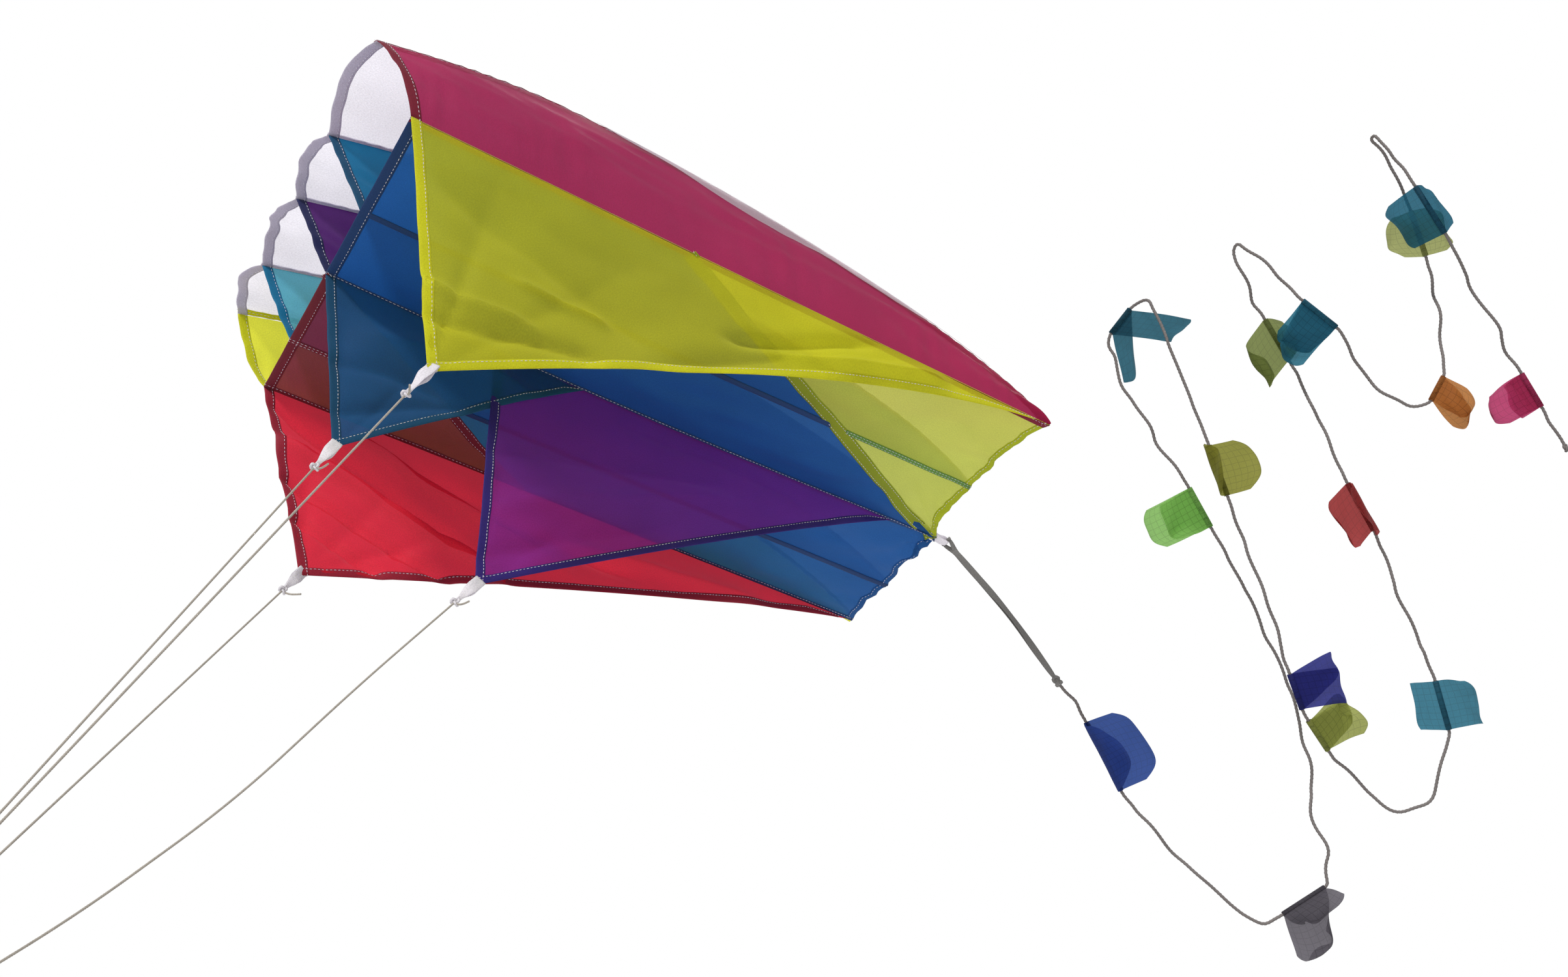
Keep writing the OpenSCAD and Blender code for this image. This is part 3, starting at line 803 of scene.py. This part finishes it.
def keel_place(start, end, seam_y, corner, hollow, seed, crease, count, folds):
    depth = skin_z - corner.z

    def flat_point(u, v):
        fall = (1 - u) ** hollow
        top = Vector((mix(start, end, u), seam_y, skin_height(mix(start, end, u), seam_y)))
        under = Vector((mix(corner.x, end, u), seam_y + (corner.y - seam_y) * fall,
                        skin_z - depth * fall))
        return top.lerp(under, v) if u < 0.999 else top

    lines = [(flat_point(*head).xz, flat_point(*tail).xz, rise, width)
             for head, tail, rise, width in folds]

    def place(u, v):
        point = flat_point(u, v)
        from_corner = point - corner
        reach = math.hypot(from_corner.x, from_corner.z)
        angle = math.atan2(from_corner.z, from_corner.x)
        fade = (reach / 0.12) * math.exp(1 - reach / 0.12)
        hold = math.sin(math.pi * min(1, v * 0.5)) ** 0.8 * min(1, 6 * (1 - u))
        uneven = 1 + noise.noise(Vector((angle * 4, seed, 0)))
        spokes = uneven * ridge(count / 2 * angle + seed + 0.6 * math.sin(3 * angle + seed)) - 0.3
        billow = ruffle(point.x, seed * 3, point.z, 0.09, 0.006) * math.sin(math.pi * v)
        fine = ruffle(point.x * 0.5, seed * 7, point.z, 0.02, 0.0012) * math.sin(math.pi * v)
        point.y += crease * spokes * fade * hold + (billow + fine) * min(1, 6 * (1 - u))
        edges = min(1, 7 * v) * min(1, 5 * (1 - u))
        for head, tail, rise, width in lines:
            way = tail - head
            along = (point.xz - head).dot(way) / way.length_squared
            across = way.normalized().cross(point.xz - head)
            across += 0.3 * width * math.sin(5 * along + seed)
            ends = smooth_step(4 * (along + 0.1)) * smooth_step(4 * (1.1 - along))
            point.y += rise * ends * edges * math.exp(-abs(across / width) ** 1.5)
        return point
    return place


def corner_of(node, x_set_back, side):
    box_low, box_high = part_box(node)
    y = {"near": box_high.y, "far": box_low.y, "middle": (box_low.y + box_high.y) / 2}[side]
    return Vector((box_low.x + x_set_back, y, box_low.z))


# Folds run from one spot to another, both as shares along and down the keel; then how far each
# stands out and how wide it is, in metres.
keel_folds = {
    "yellow": [((0, 0.66), (0.14, 0.84), -0.0065, 0.005), ((0, 0.78), (0.22, 0.96), 0.006, 0.006),
               ((0.12, 0.6), (0.24, 0.76), -0.005, 0.004),
               ((0.42, 0.7), (0.68, 0.2), 0.008, 0.006), ((0.5, 0.75), (0.8, 0.5), -0.008, 0.006),
               ((0.3, 0.95), (0.62, 0.6), 0.005, 0.008), ((0.02, 0.2), (0.3, 0.9), 0.004, 0.012)],
    "blue": [((0, 0.5), (0.4, 0.8), 0.005, 0.01), ((0.1, 0.3), (0.7, 0.7), -0.006, 0.014),
             ((0, 0.8), (0.5, 0.95), 0.004, 0.007)],
    "purple": [((0, 0.45), (0.55, 0.35), 0.006, 0.01), ((0.02, 0.7), (0.6, 0.5), -0.006, 0.012),
               ((0, 0.9), (0.4, 0.8), 0.005, 0.008), ((0.3, 0.1), (0.8, 0.6), 0.005, 0.01)],
    "red": [((0, 0.08), (0.3, 0.8), 0.013, 0.007), ((0.0, 0.3), (0.3, 0.95), -0.014, 0.008),
            ((0, 0.5), (0.22, 0.98), 0.011, 0.006), ((0.08, 0.1), (0.42, 0.8), -0.012, 0.009),
            ((0.2, 0.2), (0.55, 0.75), 0.009, 0.009), ((0, 0.72), (0.12, 0.98), 0.008, 0.005),
            ((0.4, 0.5), (0.8, 0.8), -0.006, 0.009)],
}
# Each keel: its seam, its free corner, how hollow its lower edge is, a seed, how deep its creases
# are, how many there are, and its cloth.
keels = {
    "yellow": (seams[0], corner_of("keel_yellow", 0.058, "near"), 1.4, 0.4, 0.0030, 13, "yellow"),
    "blue": (0, corner_of("keel_blue", 0.037, "middle"), 1.08, 1.7, 0.0020, 9, "keel_blue"),
    "purple": (0, corner_of("keel_purple", 0.012, "middle"), 1.08, 2.9, 0.0024, 8, "purple"),
    "red": (seams[4], corner_of("keel_red", 0.058, "far"), 1.15, 4.1, 0.0040, 14, "red"),
}
keel_places = {}
for colour, (seam_y, corner, hollow, seed, crease, count, cloth) in keels.items():
    start, end = low(f"keel_{colour}").x, high(f"keel_{colour}").x
    place = keel_place(start, end, seam_y, corner, hollow, seed, crease, count,
                       keel_folds[colour])
    keel_places[colour] = place
    piece = cloth_grid(f"keel_cloth_{colour}", place,
                       lambda u, v: tuple(keel_places[colour](u, v).xz), 150, 50, cloths[cloth])
    settle(piece, "kite", f"keel_{colour}", f"keel_{colour}")

# %% [markdown]
# ## Hems and seam bands
# Every free edge of the cloth is folded over and sewn, and every seam shows as a narrow double
# band. A band here is a closed strip between two lines of points, with rounded sides, so it reads
# as folded cloth and stands a little proud on both faces. It also remembers where its stitches
# run.

# %% Bands
stitch_runs = []


def band(name, edge, inner, finish, slot, thick=0.0010, sewn=(0.78,), body="kite", wrap=True):
    bm = bmesh.new()
    outline = [(-0.04 if wrap else 0, 0), (0.05, 0.8), (0.3, 1), (0.7, 1), (0.96, 0.75), (1, 0),
               (0.96, -0.75), (0.7, -1), (0.3, -1), (0.05, -0.8)]
    rings, spots = [], {}
    run = 0.0
    sides = {share: ([], []) for share in sewn}
    for i, (start, end) in enumerate(zip(edge, inner)):
        way = edge[min(i + 1, len(edge) - 1)] - edge[max(i - 1, 0)]
        across = end - start
        up = way.cross(across).normalized()
        run += (edge[i] - edge[i - 1]).length if i else 0
        swell = 1 + 0.35 * noise.noise(Vector((run / 0.012, len(name), 0)))
        ring = []
        for share, height in outline:
            point = start + across * share + up * height * thick / 2 * swell
            ring.append(bm.verts.new(point))
            spots[ring[-1]] = (run, share * across.length)
        rings.append(ring)
        for share, (front, back) in sides.items():
            front.append(start + across * share + up * thick * 0.55)
            back.append(start + across * share - up * thick * 0.55)
    count = len(outline)
    for first, second in zip(rings, rings[1:]):
        for k in range(count):
            bm.faces.new((first[k], second[k], second[(k + 1) % count], first[(k + 1) % count]))
    bm.faces.new(rings[0])
    bm.faces.new(rings[-1][::-1])
    map_cloth(bm, spots.get)
    bmesh.ops.recalc_face_normals(bm, faces=bm.faces)
    made = own_mesh(name, bm, finish)
    for front, back in sides.values():
        stitch_runs.extend([front, back])
    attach(made, body)
    return made


def trace(curve, count):
    return [curve(i / count) for i in range(count + 1)]


def hem(name, place, edge, width, finish, slot, count, along_u=True):
    def inner(t):
        u, v = edge(t)
        inside = (0.5, v) if along_u else (u, 0.5)
        least, most = 0.0, 1.0
        for _ in range(14):
            share = (least + most) / 2
            near = place(mix(u, inside[0], share), mix(v, inside[1], share))
            if (near - place(u, v)).length < width:
                least = share
            else:
                most = share
        return near

    return band(name, trace(lambda t: place(*edge(t)), count), trace(inner, count), finish, slot)


# %% [markdown]
# ## The mouths
# The lips of the four mouths and the front edges of the five ribs carry the widest hems, because
# the wind pulls there first.

# %% Hems of the mouths
hem_w = 0.0085
for cell in (1, 2, 3, 4):
    hem(f"lip_{cell}", top_place(cell), lambda t: (0.0, t), hem_w, cloths["hem_white"],
        "top_white", 30)
rib_hems = ["hem_burgundy", "hem_teal", "hem_violet", "hem_sky", "hem_yellow"]
for place, rib_hem, (colour, _, _) in zip(rib_places, rib_hems, ribs):
    hem(f"front_rib_{colour}", place, lambda t: (0.0, t), hem_w, cloths[rib_hem],
        f"rib_{colour}", 26)


def skin_line(start, end, shift=0.0, drop=0.0):
    start, end = Vector(start), Vector(end)
    out = Vector((end.y - start.y, start.x - end.x)).normalized() * shift

    def point(t):
        spot = start.lerp(end, t) + out
        return skin_point(*spot) - Vector((0, 0, drop))
    return point


def skin_band(name, start, end, width, finish, slot, shift=0.0, drop=0.0004, **settings):
    length = (Vector(end) - Vector(start)).length
    count = max(8, round(length / 0.005))
    return band(name, trace(skin_line(start, end, shift, drop), count),
                trace(skin_line(start, end, shift + width, drop), count), finish, slot,
                **settings)


skin_band("lower_lip_blue", centre_front, near_front, -hem_w, cloths["hem_blue"], "bottom_blue")
skin_band("lower_lip_red", far_front, centre_front, -hem_w, cloths["hem_maroon"], "bottom_red")

# %% [markdown]
# ## Seams of the lower skin
# The ribs' seams show as darker bands under the skin, because two cloths overlap there. The
# slanting seam between blue and green is the widest, and it lets some light through.

# %% Seam bands
seam_w = 0.005
centred = -seam_w / 2
no_rows, one_row, two_rows, edge_rows = (), (0.78,), (0.25, 0.75), (0.15, 0.85)
cross_x = mix(rear_corner_x, trail_x, (seams[1] - seams[0]) / (0 - seams[0]))
front_x = mix(lead_x, front_corner_x, seams[3] / seams[4])
teal_front, teal_cross, teal_rear = [(x, seams[1]) for x in (lead_x, cross_x, trail_x)]
sky_front, sky_cross, sky_rear = [(x, seams[3]) for x in (lead_x, front_x, trail_x)]
# Each band: its ends, its width, how far it lies to one side, its cloth, slot and rows of stitches.
seam_bands = {
    "teal_blue": (teal_front, teal_cross, seam_w, centred, "hem_blue", "bottom_blue", no_rows),
    "teal_green": (teal_cross, teal_rear, seam_w, centred, "band_moss", "bottom_green", two_rows),
    "sky_red": (sky_front, sky_cross, seam_w, centred, "hem_maroon", "bottom_red", two_rows),
    "sky_blue": (sky_cross, sky_rear, seam_w, centred, "hem_blue", "bottom_blue", no_rows),
    "centre": (centre_front, centre_rear, seam_w, centred, "hem_blue", "bottom_blue", one_row),
    "near_blue": (near_front, near_corner, seam_w, -seam_w,
                  "hem_burgundy", "rib_burgundy", one_row),
    "near_green": (near_corner, near_rear, seam_w, -seam_w,
                   "hem_burgundy", "rib_burgundy", one_row),
    "far_red": (far_front, far_corner, seam_w, 0, "hem_maroon", "bottom_red", one_row),
    "far_blue": (far_corner, far_rear, seam_w, 0, "hem_blue", "bottom_blue", one_row),
    "slant_green": (near_corner, centre_rear, 0.011, -0.008,
                    "band_olive", "bottom_green", edge_rows),
    "slant_red": (centre_front, far_corner, 0.008, -0.004, "hem_maroon", "bottom_red", edge_rows),
}
for label, (start, end, width, shift, cloth, slot, rows) in seam_bands.items():
    skin_band(f"seam_{label}", start, end, width, cloths[cloth], slot, shift=shift, sewn=rows)

# %% [markdown]
# ## The trailing edge and the upper seams
# At the rear the two skins are sewn flat together. On top, each rib's seam stands up as a narrow
# ridge of folded cloth, and the outer ribs are edged in their own colour.

# %% Rear and upper bands
trail_parts = [("green", seams[0], seams[1], "hem_lime", "bottom_green"),
               ("lime", seams[1], -0.004, "hem_lime", "bottom_green"),
               ("blue", -0.004, seams[3], "blue_hem", "bottom_blue"),
               ("far", seams[3], seams[4], "blue_hem", "bottom_blue")]
for label, near, far, finish, slot in trail_parts:
    skin_band(f"trail_{label}", (trail_x + 0.0004, near), (trail_x + 0.0004, far), -0.007,
              cloths[finish], slot, drop=0.0, thick=0.0014)


ridge_half = 0.0022
edging_w = 0.0045


def top_line(seam, side, lift):
    def point(t):
        cell = min(4, max(1, seam + (side > 0)))
        place = top_place(cell)
        width = seams[cell] - seams[cell - 1]
        inward = ridge_half / width
        v = inward if side > 0 else 1 - inward
        if seam == 0:
            v = 0.0 if side < 0 else edging_w / width
        if seam == 4:
            v = 1.0 if side > 0 else 1 - edging_w / width
        return place(t, v) + Vector((0, 0, lift))
    return point


edge_finish = ["hem_burgundy", "hem_white", "hem_white", "hem_white", "hem_yellow"]
edge_slot = ["rib_burgundy", "top_white", "top_white", "top_white", "rib_yellow"]
for seam in range(5):
    band(f"upper_seam_{seam}", trace(top_line(seam, -1, 0.0006), 110),
         trace(top_line(seam, 1, 0.0006), 110), cloths[edge_finish[seam]], edge_slot[seam],
         thick=0.0013, sewn=(0.5,), wrap=False)

# %% Hems of the keels
keel_hems = {"yellow": "hem_yellow", "blue": "hem_petrol", "purple": "hem_indigo",
             "red": "hem_red"}
for colour, place in keel_places.items():
    finish, slot = cloths[keel_hems[colour]], f"keel_{colour}"
    hem(f"front_keel_{colour}", place, lambda t: (0.0, t), hem_w, finish, slot, 50)
    hem(f"under_keel_{colour}", place, lambda t: (t * 0.97, 1.0), hem_w * 0.9, finish, slot, 130,
        along_u=False)
print("stitch runs", len(stitch_runs))

# %% [markdown]
# ## Stitches
# The hems are sewn in white thread, a stitch every three and a half millimetres. A node tree puts
# them on: it turns the remembered runs into curves, places points at the stitch pitch, and sets a
# small capsule along the curve at each one, a little longer or shorter than the last.

# %% The stitch tree
sewing, given, sewing_keys = new_tree(
    "sewn stitches", {"Pitch": "Float", "Stitch length": "Float", "Thread": "Float",
                      "Seed": "Int", "Finish": "Material"})
run_line = add(sewing, "GeometryNodeMeshToCurve", {"Mesh": given["Geometry"]})
spots = add(sewing, "GeometryNodeCurveToPoints",
            {"Curve": run_line.outputs[0], "Length": given["Pitch"]}, mode="LENGTH")
capsule = add(sewing, "GeometryNodeMeshIcoSphere", {"Radius": 0.5, "Subdivisions": 1})
drawn = add(sewing, "ShaderNodeCombineXYZ",
            {0: given["Thread"], 1: given["Thread"], 2: given["Stitch length"]})
stretched = add(sewing, "GeometryNodeTransform",
                {"Geometry": capsule.outputs[0], "Scale": drawn.outputs[0]})
uneven = add(sewing, "FunctionNodeRandomValue", {2: 0.8, 3: 1.1, "Seed": given["Seed"]},
             data_type="FLOAT")
placed = add(sewing, "GeometryNodeInstanceOnPoints",
             {"Points": spots.outputs["Points"], "Instance": stretched.outputs[0],
              "Rotation": spots.outputs["Rotation"], "Scale": uneven.outputs[1]})
real = add(sewing, "GeometryNodeRealizeInstances", {"Geometry": placed.outputs[0]})
sewn = add(sewing, "GeometryNodeSetMaterial",
           {"Geometry": real.outputs[0], "Material": given["Finish"]})
add(sewing, "NodeGroupOutput", {"Geometry": sewn.outputs[0]})

# %% Sewing the kite
stitch_pitch = 0.0034
stitch_length = 0.0026
thread_d = 0.00045
stitches = grow(line_mesh("stitches", stitch_runs), sewing, sewing_keys,
                {"Pitch": stitch_pitch, "Stitch length": stitch_length, "Thread": thread_d,
                 "Seed": 7, "Finish": cords["thread"]})
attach(stitches, "kite")
print("stitches", len(stitches.data.polygons) // 20)

# %% [markdown]
# ## Tapes and knots
# A folded white tape is sewn into each keel's corner and narrows into a knot, where the line is
# tied. A knot is a real overhand turn of the cord: a tube along a closed trefoil, flattened a
# little. Each tape leaves a short free end.

# %% Tapes
def strip(name, lefts, rights, cloth, slot, body="kite", thick=0.0006):
    return band(name, lefts, rights, cloths[cloth], slot, body=body, thick=thick, sewn=(),
                wrap=False)


def aim_axes(way):
    way = way.normalized()
    level = Vector((-way.y, way.x, 0)).normalized()
    return level.cross(way).normalized(), level, way


tape_half = 0.0045
tape_tuck = 0.008


def tape_piece(colour, corner, knot_at):
    broad, face, way = aim_axes(knot_at - corner)
    length = (knot_at - corner).length
    for side in (-1, 1):
        def edge(sign):
            def point(t):
                along = mix(-tape_tuck, length - 0.0015, t)
                narrow = mix(1, 0.33, smooth_step((t - 0.35) / 0.6))
                puff = math.sin(math.pi * smooth_step(t * 1.1)) * 0.0011 + 0.0004
                crumple = 0.0007 * math.sin(9 * t + sign * 2 + side) * smooth_step(t * 2)
                return (corner + way * along + broad * sign * tape_half * narrow
                        + face * (side * puff + crumple))
            return point
        strip(f"tape_{colour}_{'ab'[side > 0]}", trace(edge(-1), 24), trace(edge(1), 24), "tape",
              "tape")
    return broad, face, way


def trefoil(size, centre, axes, steps=60):
    broad, face, way = axes
    turns = []
    for i in range(steps + 1):
        t = math.tau * i / steps
        turns.append(centre + (broad * (math.sin(t) + 2 * math.sin(2 * t))
                               + way * (math.cos(t) - 2 * math.cos(2 * t))
                               - face * 1.1 * math.sin(3 * t)) * size / 6)
    return turns


def knot_piece(name, centre, size, cord, axes, finish, slot, body, *nodes):
    knot = laid_cord(name, trefoil(size - cord, centre, axes), cord, finish, lay=0.005,
                     spacing=0.0007)
    return settle(knot, body, slot, *nodes)


for colour in ("yellow", "blue", "purple", "red"):
    corner = keels[colour][1]
    centre = middle(f"knot_{colour}")
    axes = tape_piece(colour, corner, centre)
    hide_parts(f"tape_{colour}")
    knot_piece(f"tied_{colour}", centre, 0.0085, 0.0022, axes, cloths["tape"], "bridle_cord",
               "kite", f"knot_{colour}")
    broad, face, way = axes
    end = [centre + way * 0.001 * k + broad * (0.0016 * k) + face * 0.0006 * k * k
           for k in range(6)]
    settle(laid_cord(f"tied_end_{colour}", rounded_route(end), line_d, cords["bridle"]),
           "kite", "bridle_cord")

# %% [markdown]
# ## The tow knot and loop
# All four lines meet in one knot, and a small loop beyond it takes the flying line's clip.

# %% Tow knot and loop
tow_axes = aim_axes(tow_point - keels["blue"][1])
knot_piece("tow_knot_tied", tow_point, 0.0105, 0.0024, tow_axes, cords["bridle"], "bridle_cord",
           "kite", "tow_knot")
loop_centre = middle("tow_loop")
loop_r = 0.009
broad, face, way = tow_axes
ring = trace(lambda t: loop_centre + (way * math.cos(math.tau * t)
                                      + broad * math.sin(math.tau * t)) * loop_r, 72)
settle(laid_cord("tow_ring", ring, line_d, cords["bridle"]), "kite", "bridle_cord", "tow_loop")

# %% [markdown]
# ## The tab and the yoke
# A short tape tab is sewn to the trailing edge, and two grey ribbons are folded through it. They
# hang side by side, twist a little, and end in the knot that the tail line is tied to.

# %% The tab
eye = Vector((high("tail_tab").x - 0.0025, 0, skin_z))
fold_r = 0.0015
tab_r = fold_r + 0.0006
tab_root = trail_x - tape_tuck


def tab_path(t):
    if t < 0.35:
        return Vector((mix(tab_root, eye.x, t / 0.35), 0, skin_z + tab_r * t / 0.35))
    if t < 0.65:
        angle = math.pi * (0.5 - (t - 0.35) / 0.3)
        return eye + Vector((math.cos(angle), 0, math.sin(angle))) * tab_r
    back = (t - 0.65) / 0.35
    return Vector((mix(eye.x, tab_root, back), 0, skin_z - tab_r * (1 - back) - 0.0008))


def tab_edge(side):
    def point(t):
        gathered = math.exp(-((t - 0.5) / 0.22) ** 2)
        crinkle = 0.0006 * math.sin(31 * t + side) * (1 - gathered)
        return tab_path(t) + Vector((0, side * (tape_half - 0.0022 * gathered), crinkle))
    return point


tab = strip("tail_tab_tape", trace(tab_edge(-1), 60), trace(tab_edge(1), 60), "tape", "tape")
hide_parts("tail_tab")

# %% The yoke's ribbons
ribbon_w = 0.006
ribbon_t = 0.0008
yoke_middle = Vector((0.830, 0.004, 0.647))
yoke_spine = along_route(rounded_route([eye, yoke_middle, yoke_knot - tail_way * 0.002],
                                       step=0.004, share=0.45), 70)


def yoke_arm(side):
    path, lefts, rights = [], [], []
    last = len(yoke_spine) - 1
    for i, point in enumerate(yoke_spine):
        t = i / last
        way = (yoke_spine[min(i + 1, last)] - yoke_spine[max(i - 1, 0)]).normalized()
        level = (Vector((0, 1, 0)) - way * way.y).normalized()
        turn = Matrix.Rotation(2.2 + 0.5 * math.sin(math.tau * 1.3 * t), 3, way)
        flat, face = turn @ level, turn @ way.cross(level)
        apart = smooth_step(t / 0.10)
        gap = 0.0006 + 0.0004 * math.sin(math.pi * t)
        centre = point + level * (side * 0.0042 * (1 - apart)) + face * (side * gap * apart)
        half = flat * ribbon_w / 2 * mix(1, 0.45, abs(2 * t - 1) ** 8)
        path.append(centre)
        lefts.append(centre - half)
        rights.append(centre + half)
    return path, lefts, rights


for side, label in ((-1, "near"), (1, "far")):
    path, lefts, rights = yoke_arm(side)
    arm = strip(f"yoke_{label}", lefts, rights, "ribbon", "yoke_ribbon", body="yoke",
                thick=ribbon_t)
    print("yoke ribbon", label, round(route_length(path), 3), "m")

fold_half = 0.0058
fold_path = trace(lambda t: eye + Vector((0, mix(-fold_half, fold_half, t), 0)), 30)
fold = laid_cord("yoke_fold", fold_path, 2 * fold_r, cords["ribbon"], lay=0.02)
settle(fold, "yoke", "yoke_ribbon", "tail_yoke")
knot_piece("yoke_tied", yoke_knot, 0.0125, 0.0044, aim_axes(tail_way), cords["ribbon"],
           "yoke_ribbon", "yoke", "yoke_knot")
end_axes = aim_axes(tail_route[-1] - tail_route[-2])
knot_piece("tail_end_tied", tail_route[-1], 0.0095, 0.0028, end_axes, cords["tail"],
           "tail_cord", "tail", "tail_end_knot")

# %% [markdown]
# ## The bows
# Fifteen scraps of ripstop cloth are sewn round the tail line, each on a short sleeve, so each
# has two flaps that the wind curls in its own way. Ripstop shows its grid of thicker threads. A
# flap is a curled grid whose free corners are rounded, and both faces of it glow.

# %% Ripstop
bow_dyes = ["203E8A", "5E5A62", "80B65A", "1A5468", "7E7E28", "25297A", "92994A", "26687F",
            "942828", "707C3C", "226880", "AC6C30", "949A56", "1C5E78", "B03060"]
ripstops = [cloth_finish(f"ripstop_{i + 1}", code, clear=0.22, through=0.5, thread=0.0006,
                         squares=0.006) for i, code in enumerate(bow_dyes)]


# How much further the two flaps of each bow curl at their tips, in degrees, how far the cloth
# rolls up at one end of each, and how rounded its free edge is. A positive roll is at the end
# nearer the end of the tail.
bow_curls = [(30, 70, 0, 0, 0.50), (190, 150, 150, -120, 0.34), (60, -70, -80, 0, 0.22),
             (60, 30, 0, 60, 0.10), (-60, 70, 0, 0, 0.42), (40, 60, 0, 60, 0.14),
             (40, -40, 0, 0, 0.20), (-30, 60, 60, 0, 0.08), (110, 120, -60, 0, 0.42),
             (200, 60, 0, 90, 0.34), (50, -60, 50, 0, 0.20), (-120, 110, 120, -90, 0.42),
             (-70, 70, 60, 0, 0.44), (60, 50, 0, -60, 0.34), (220, 110, -90, 0, 0.34)]


sleeve_gap = 0.0003
sleeve_wall = 0.0008
sleeve_sides = 24


def flap_spine(root, reach, bend, tip, steps):
    spine = [Vector((root, 0))]
    for k in range(steps):
        s = (k + 0.5) / steps
        angle = bend * s + tip * s ** 4
        spine.append(spine[-1] + Vector((math.cos(angle), math.sin(angle))) * reach / steps)
    return spine


def flap_place(index, flap):
    row = bow_table[index]
    first, last = [Vector(tail_points[row[0] + k]) * MM for k in (0, 1)]
    centre, way = (first + last) / 2, (last - first).normalized()
    span = row[1] * MM
    reach, turn, curl, slide, widen = row[flap]
    across = Vector((way.z * way.x, way.z * way.y, -(way.x ** 2 + way.y ** 2))).normalized()
    level = Vector((-way.y, way.x, 0)).normalized()
    turned = math.radians(turn)
    out = across * math.cos(turned) + level * math.sin(turned)
    side = level * math.cos(turned) - across * math.sin(turned)
    bend = math.radians(curl)
    tip, roll = [math.radians(value) for value in bow_curls[index][flap - 2:4:2]]
    rounded = bow_curls[index][4]
    steps = 32
    spine = flap_spine(tail_d / 2 + sleeve_gap + 0.0004, reach * MM, bend, tip, steps)
    seed = index * 2.3 + flap
    flat_half = 0.3 * span / 2

    def place(u, v):
        t = 2 * v - 1
        corner = rounded * abs(t) ** 2.8 + 0.03 * math.sin(3 * t + seed)
        s = u * (1 - corner)
        step = min(steps - 1, int(s * steps))
        spot = spine[step].lerp(spine[step + 1], s * steps - step)
        angle = bend * s + tip * s ** 4
        normal = side * math.cos(angle) - out * math.sin(angle)
        lift = 0.0012 * math.sin(9 * s + 4 * t + seed) * s
        lift += 0.0025 * math.sin(2.6 * t + seed) * s * s
        run = t / 2 * span
        over = abs(run) - flat_half
        turned_up = roll * smooth_step(1.4 * s)
        if over > 0 and roll * t > 0:
            round_r = (span / 2 - flat_half) / max(0.05, abs(turned_up))
            lift += round_r * (1 - math.cos(over / round_r)) * (1 if tip > 0 else -1)
            run = math.copysign(flat_half + round_r * math.sin(over / round_r), run)
        run = run * (1 + (widen - 0.04) * s) + slide * MM * s
        return centre + out * spot.x + side * spot.y + way * run + normal * lift
    return place, span, reach * MM, centre, way


for index in range(len(bow_table)):
    body = f"bow_{index + 1}_body"
    for flap, label in ((2, "a"), (3, "b")):
        place, span, reach, centre, way = flap_place(index, flap)
        scrap = cloth_grid(f"bow_{index + 1}_flap_{label}", place,
                           lambda u, v: (u * reach + 0.0013, v * span + 0.0021), 34, 36,
                           ripstops[index])
        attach(scrap, body)
    inner_r = tail_d / 2 + sleeve_gap
    outer_r = inner_r + sleeve_wall
    broad, level, _ = aim_axes(way)
    rings = []
    for offset, radius in ((-0.5, inner_r), (-0.5, outer_r), (0.5, outer_r), (0.5, inner_r)):
        turns = [math.tau * k / sleeve_sides for k in range(sleeve_sides)]
        rings.append([centre + way * offset * span + (broad * math.cos(t) + level * math.sin(t))
                      * radius * (1 + 0.05 * math.sin(5 * t)) for t in turns])
    bm = bmesh.new()
    verts = [[bm.verts.new(point) for point in ring] for ring in rings]
    for i in range(4):
        ring, after = verts[i], verts[(i + 1) % 4]
        for k in range(sleeve_sides):
            m = (k + 1) % sleeve_sides
            bm.faces.new((ring[k], ring[m], after[m], after[k]))
    bmesh.ops.recalc_face_normals(bm, faces=bm.faces)
    map_cloth(bm, lambda vert: ((vert.co - centre).dot(way), vert.co.z))
    sleeve = own_mesh(f"bow_{index + 1}_sleeve", bm, ripstops[index])
    settle(sleeve, body, f"bow_{index + 1}", f"bow_{index + 1}")
print("bows", len(bow_table))
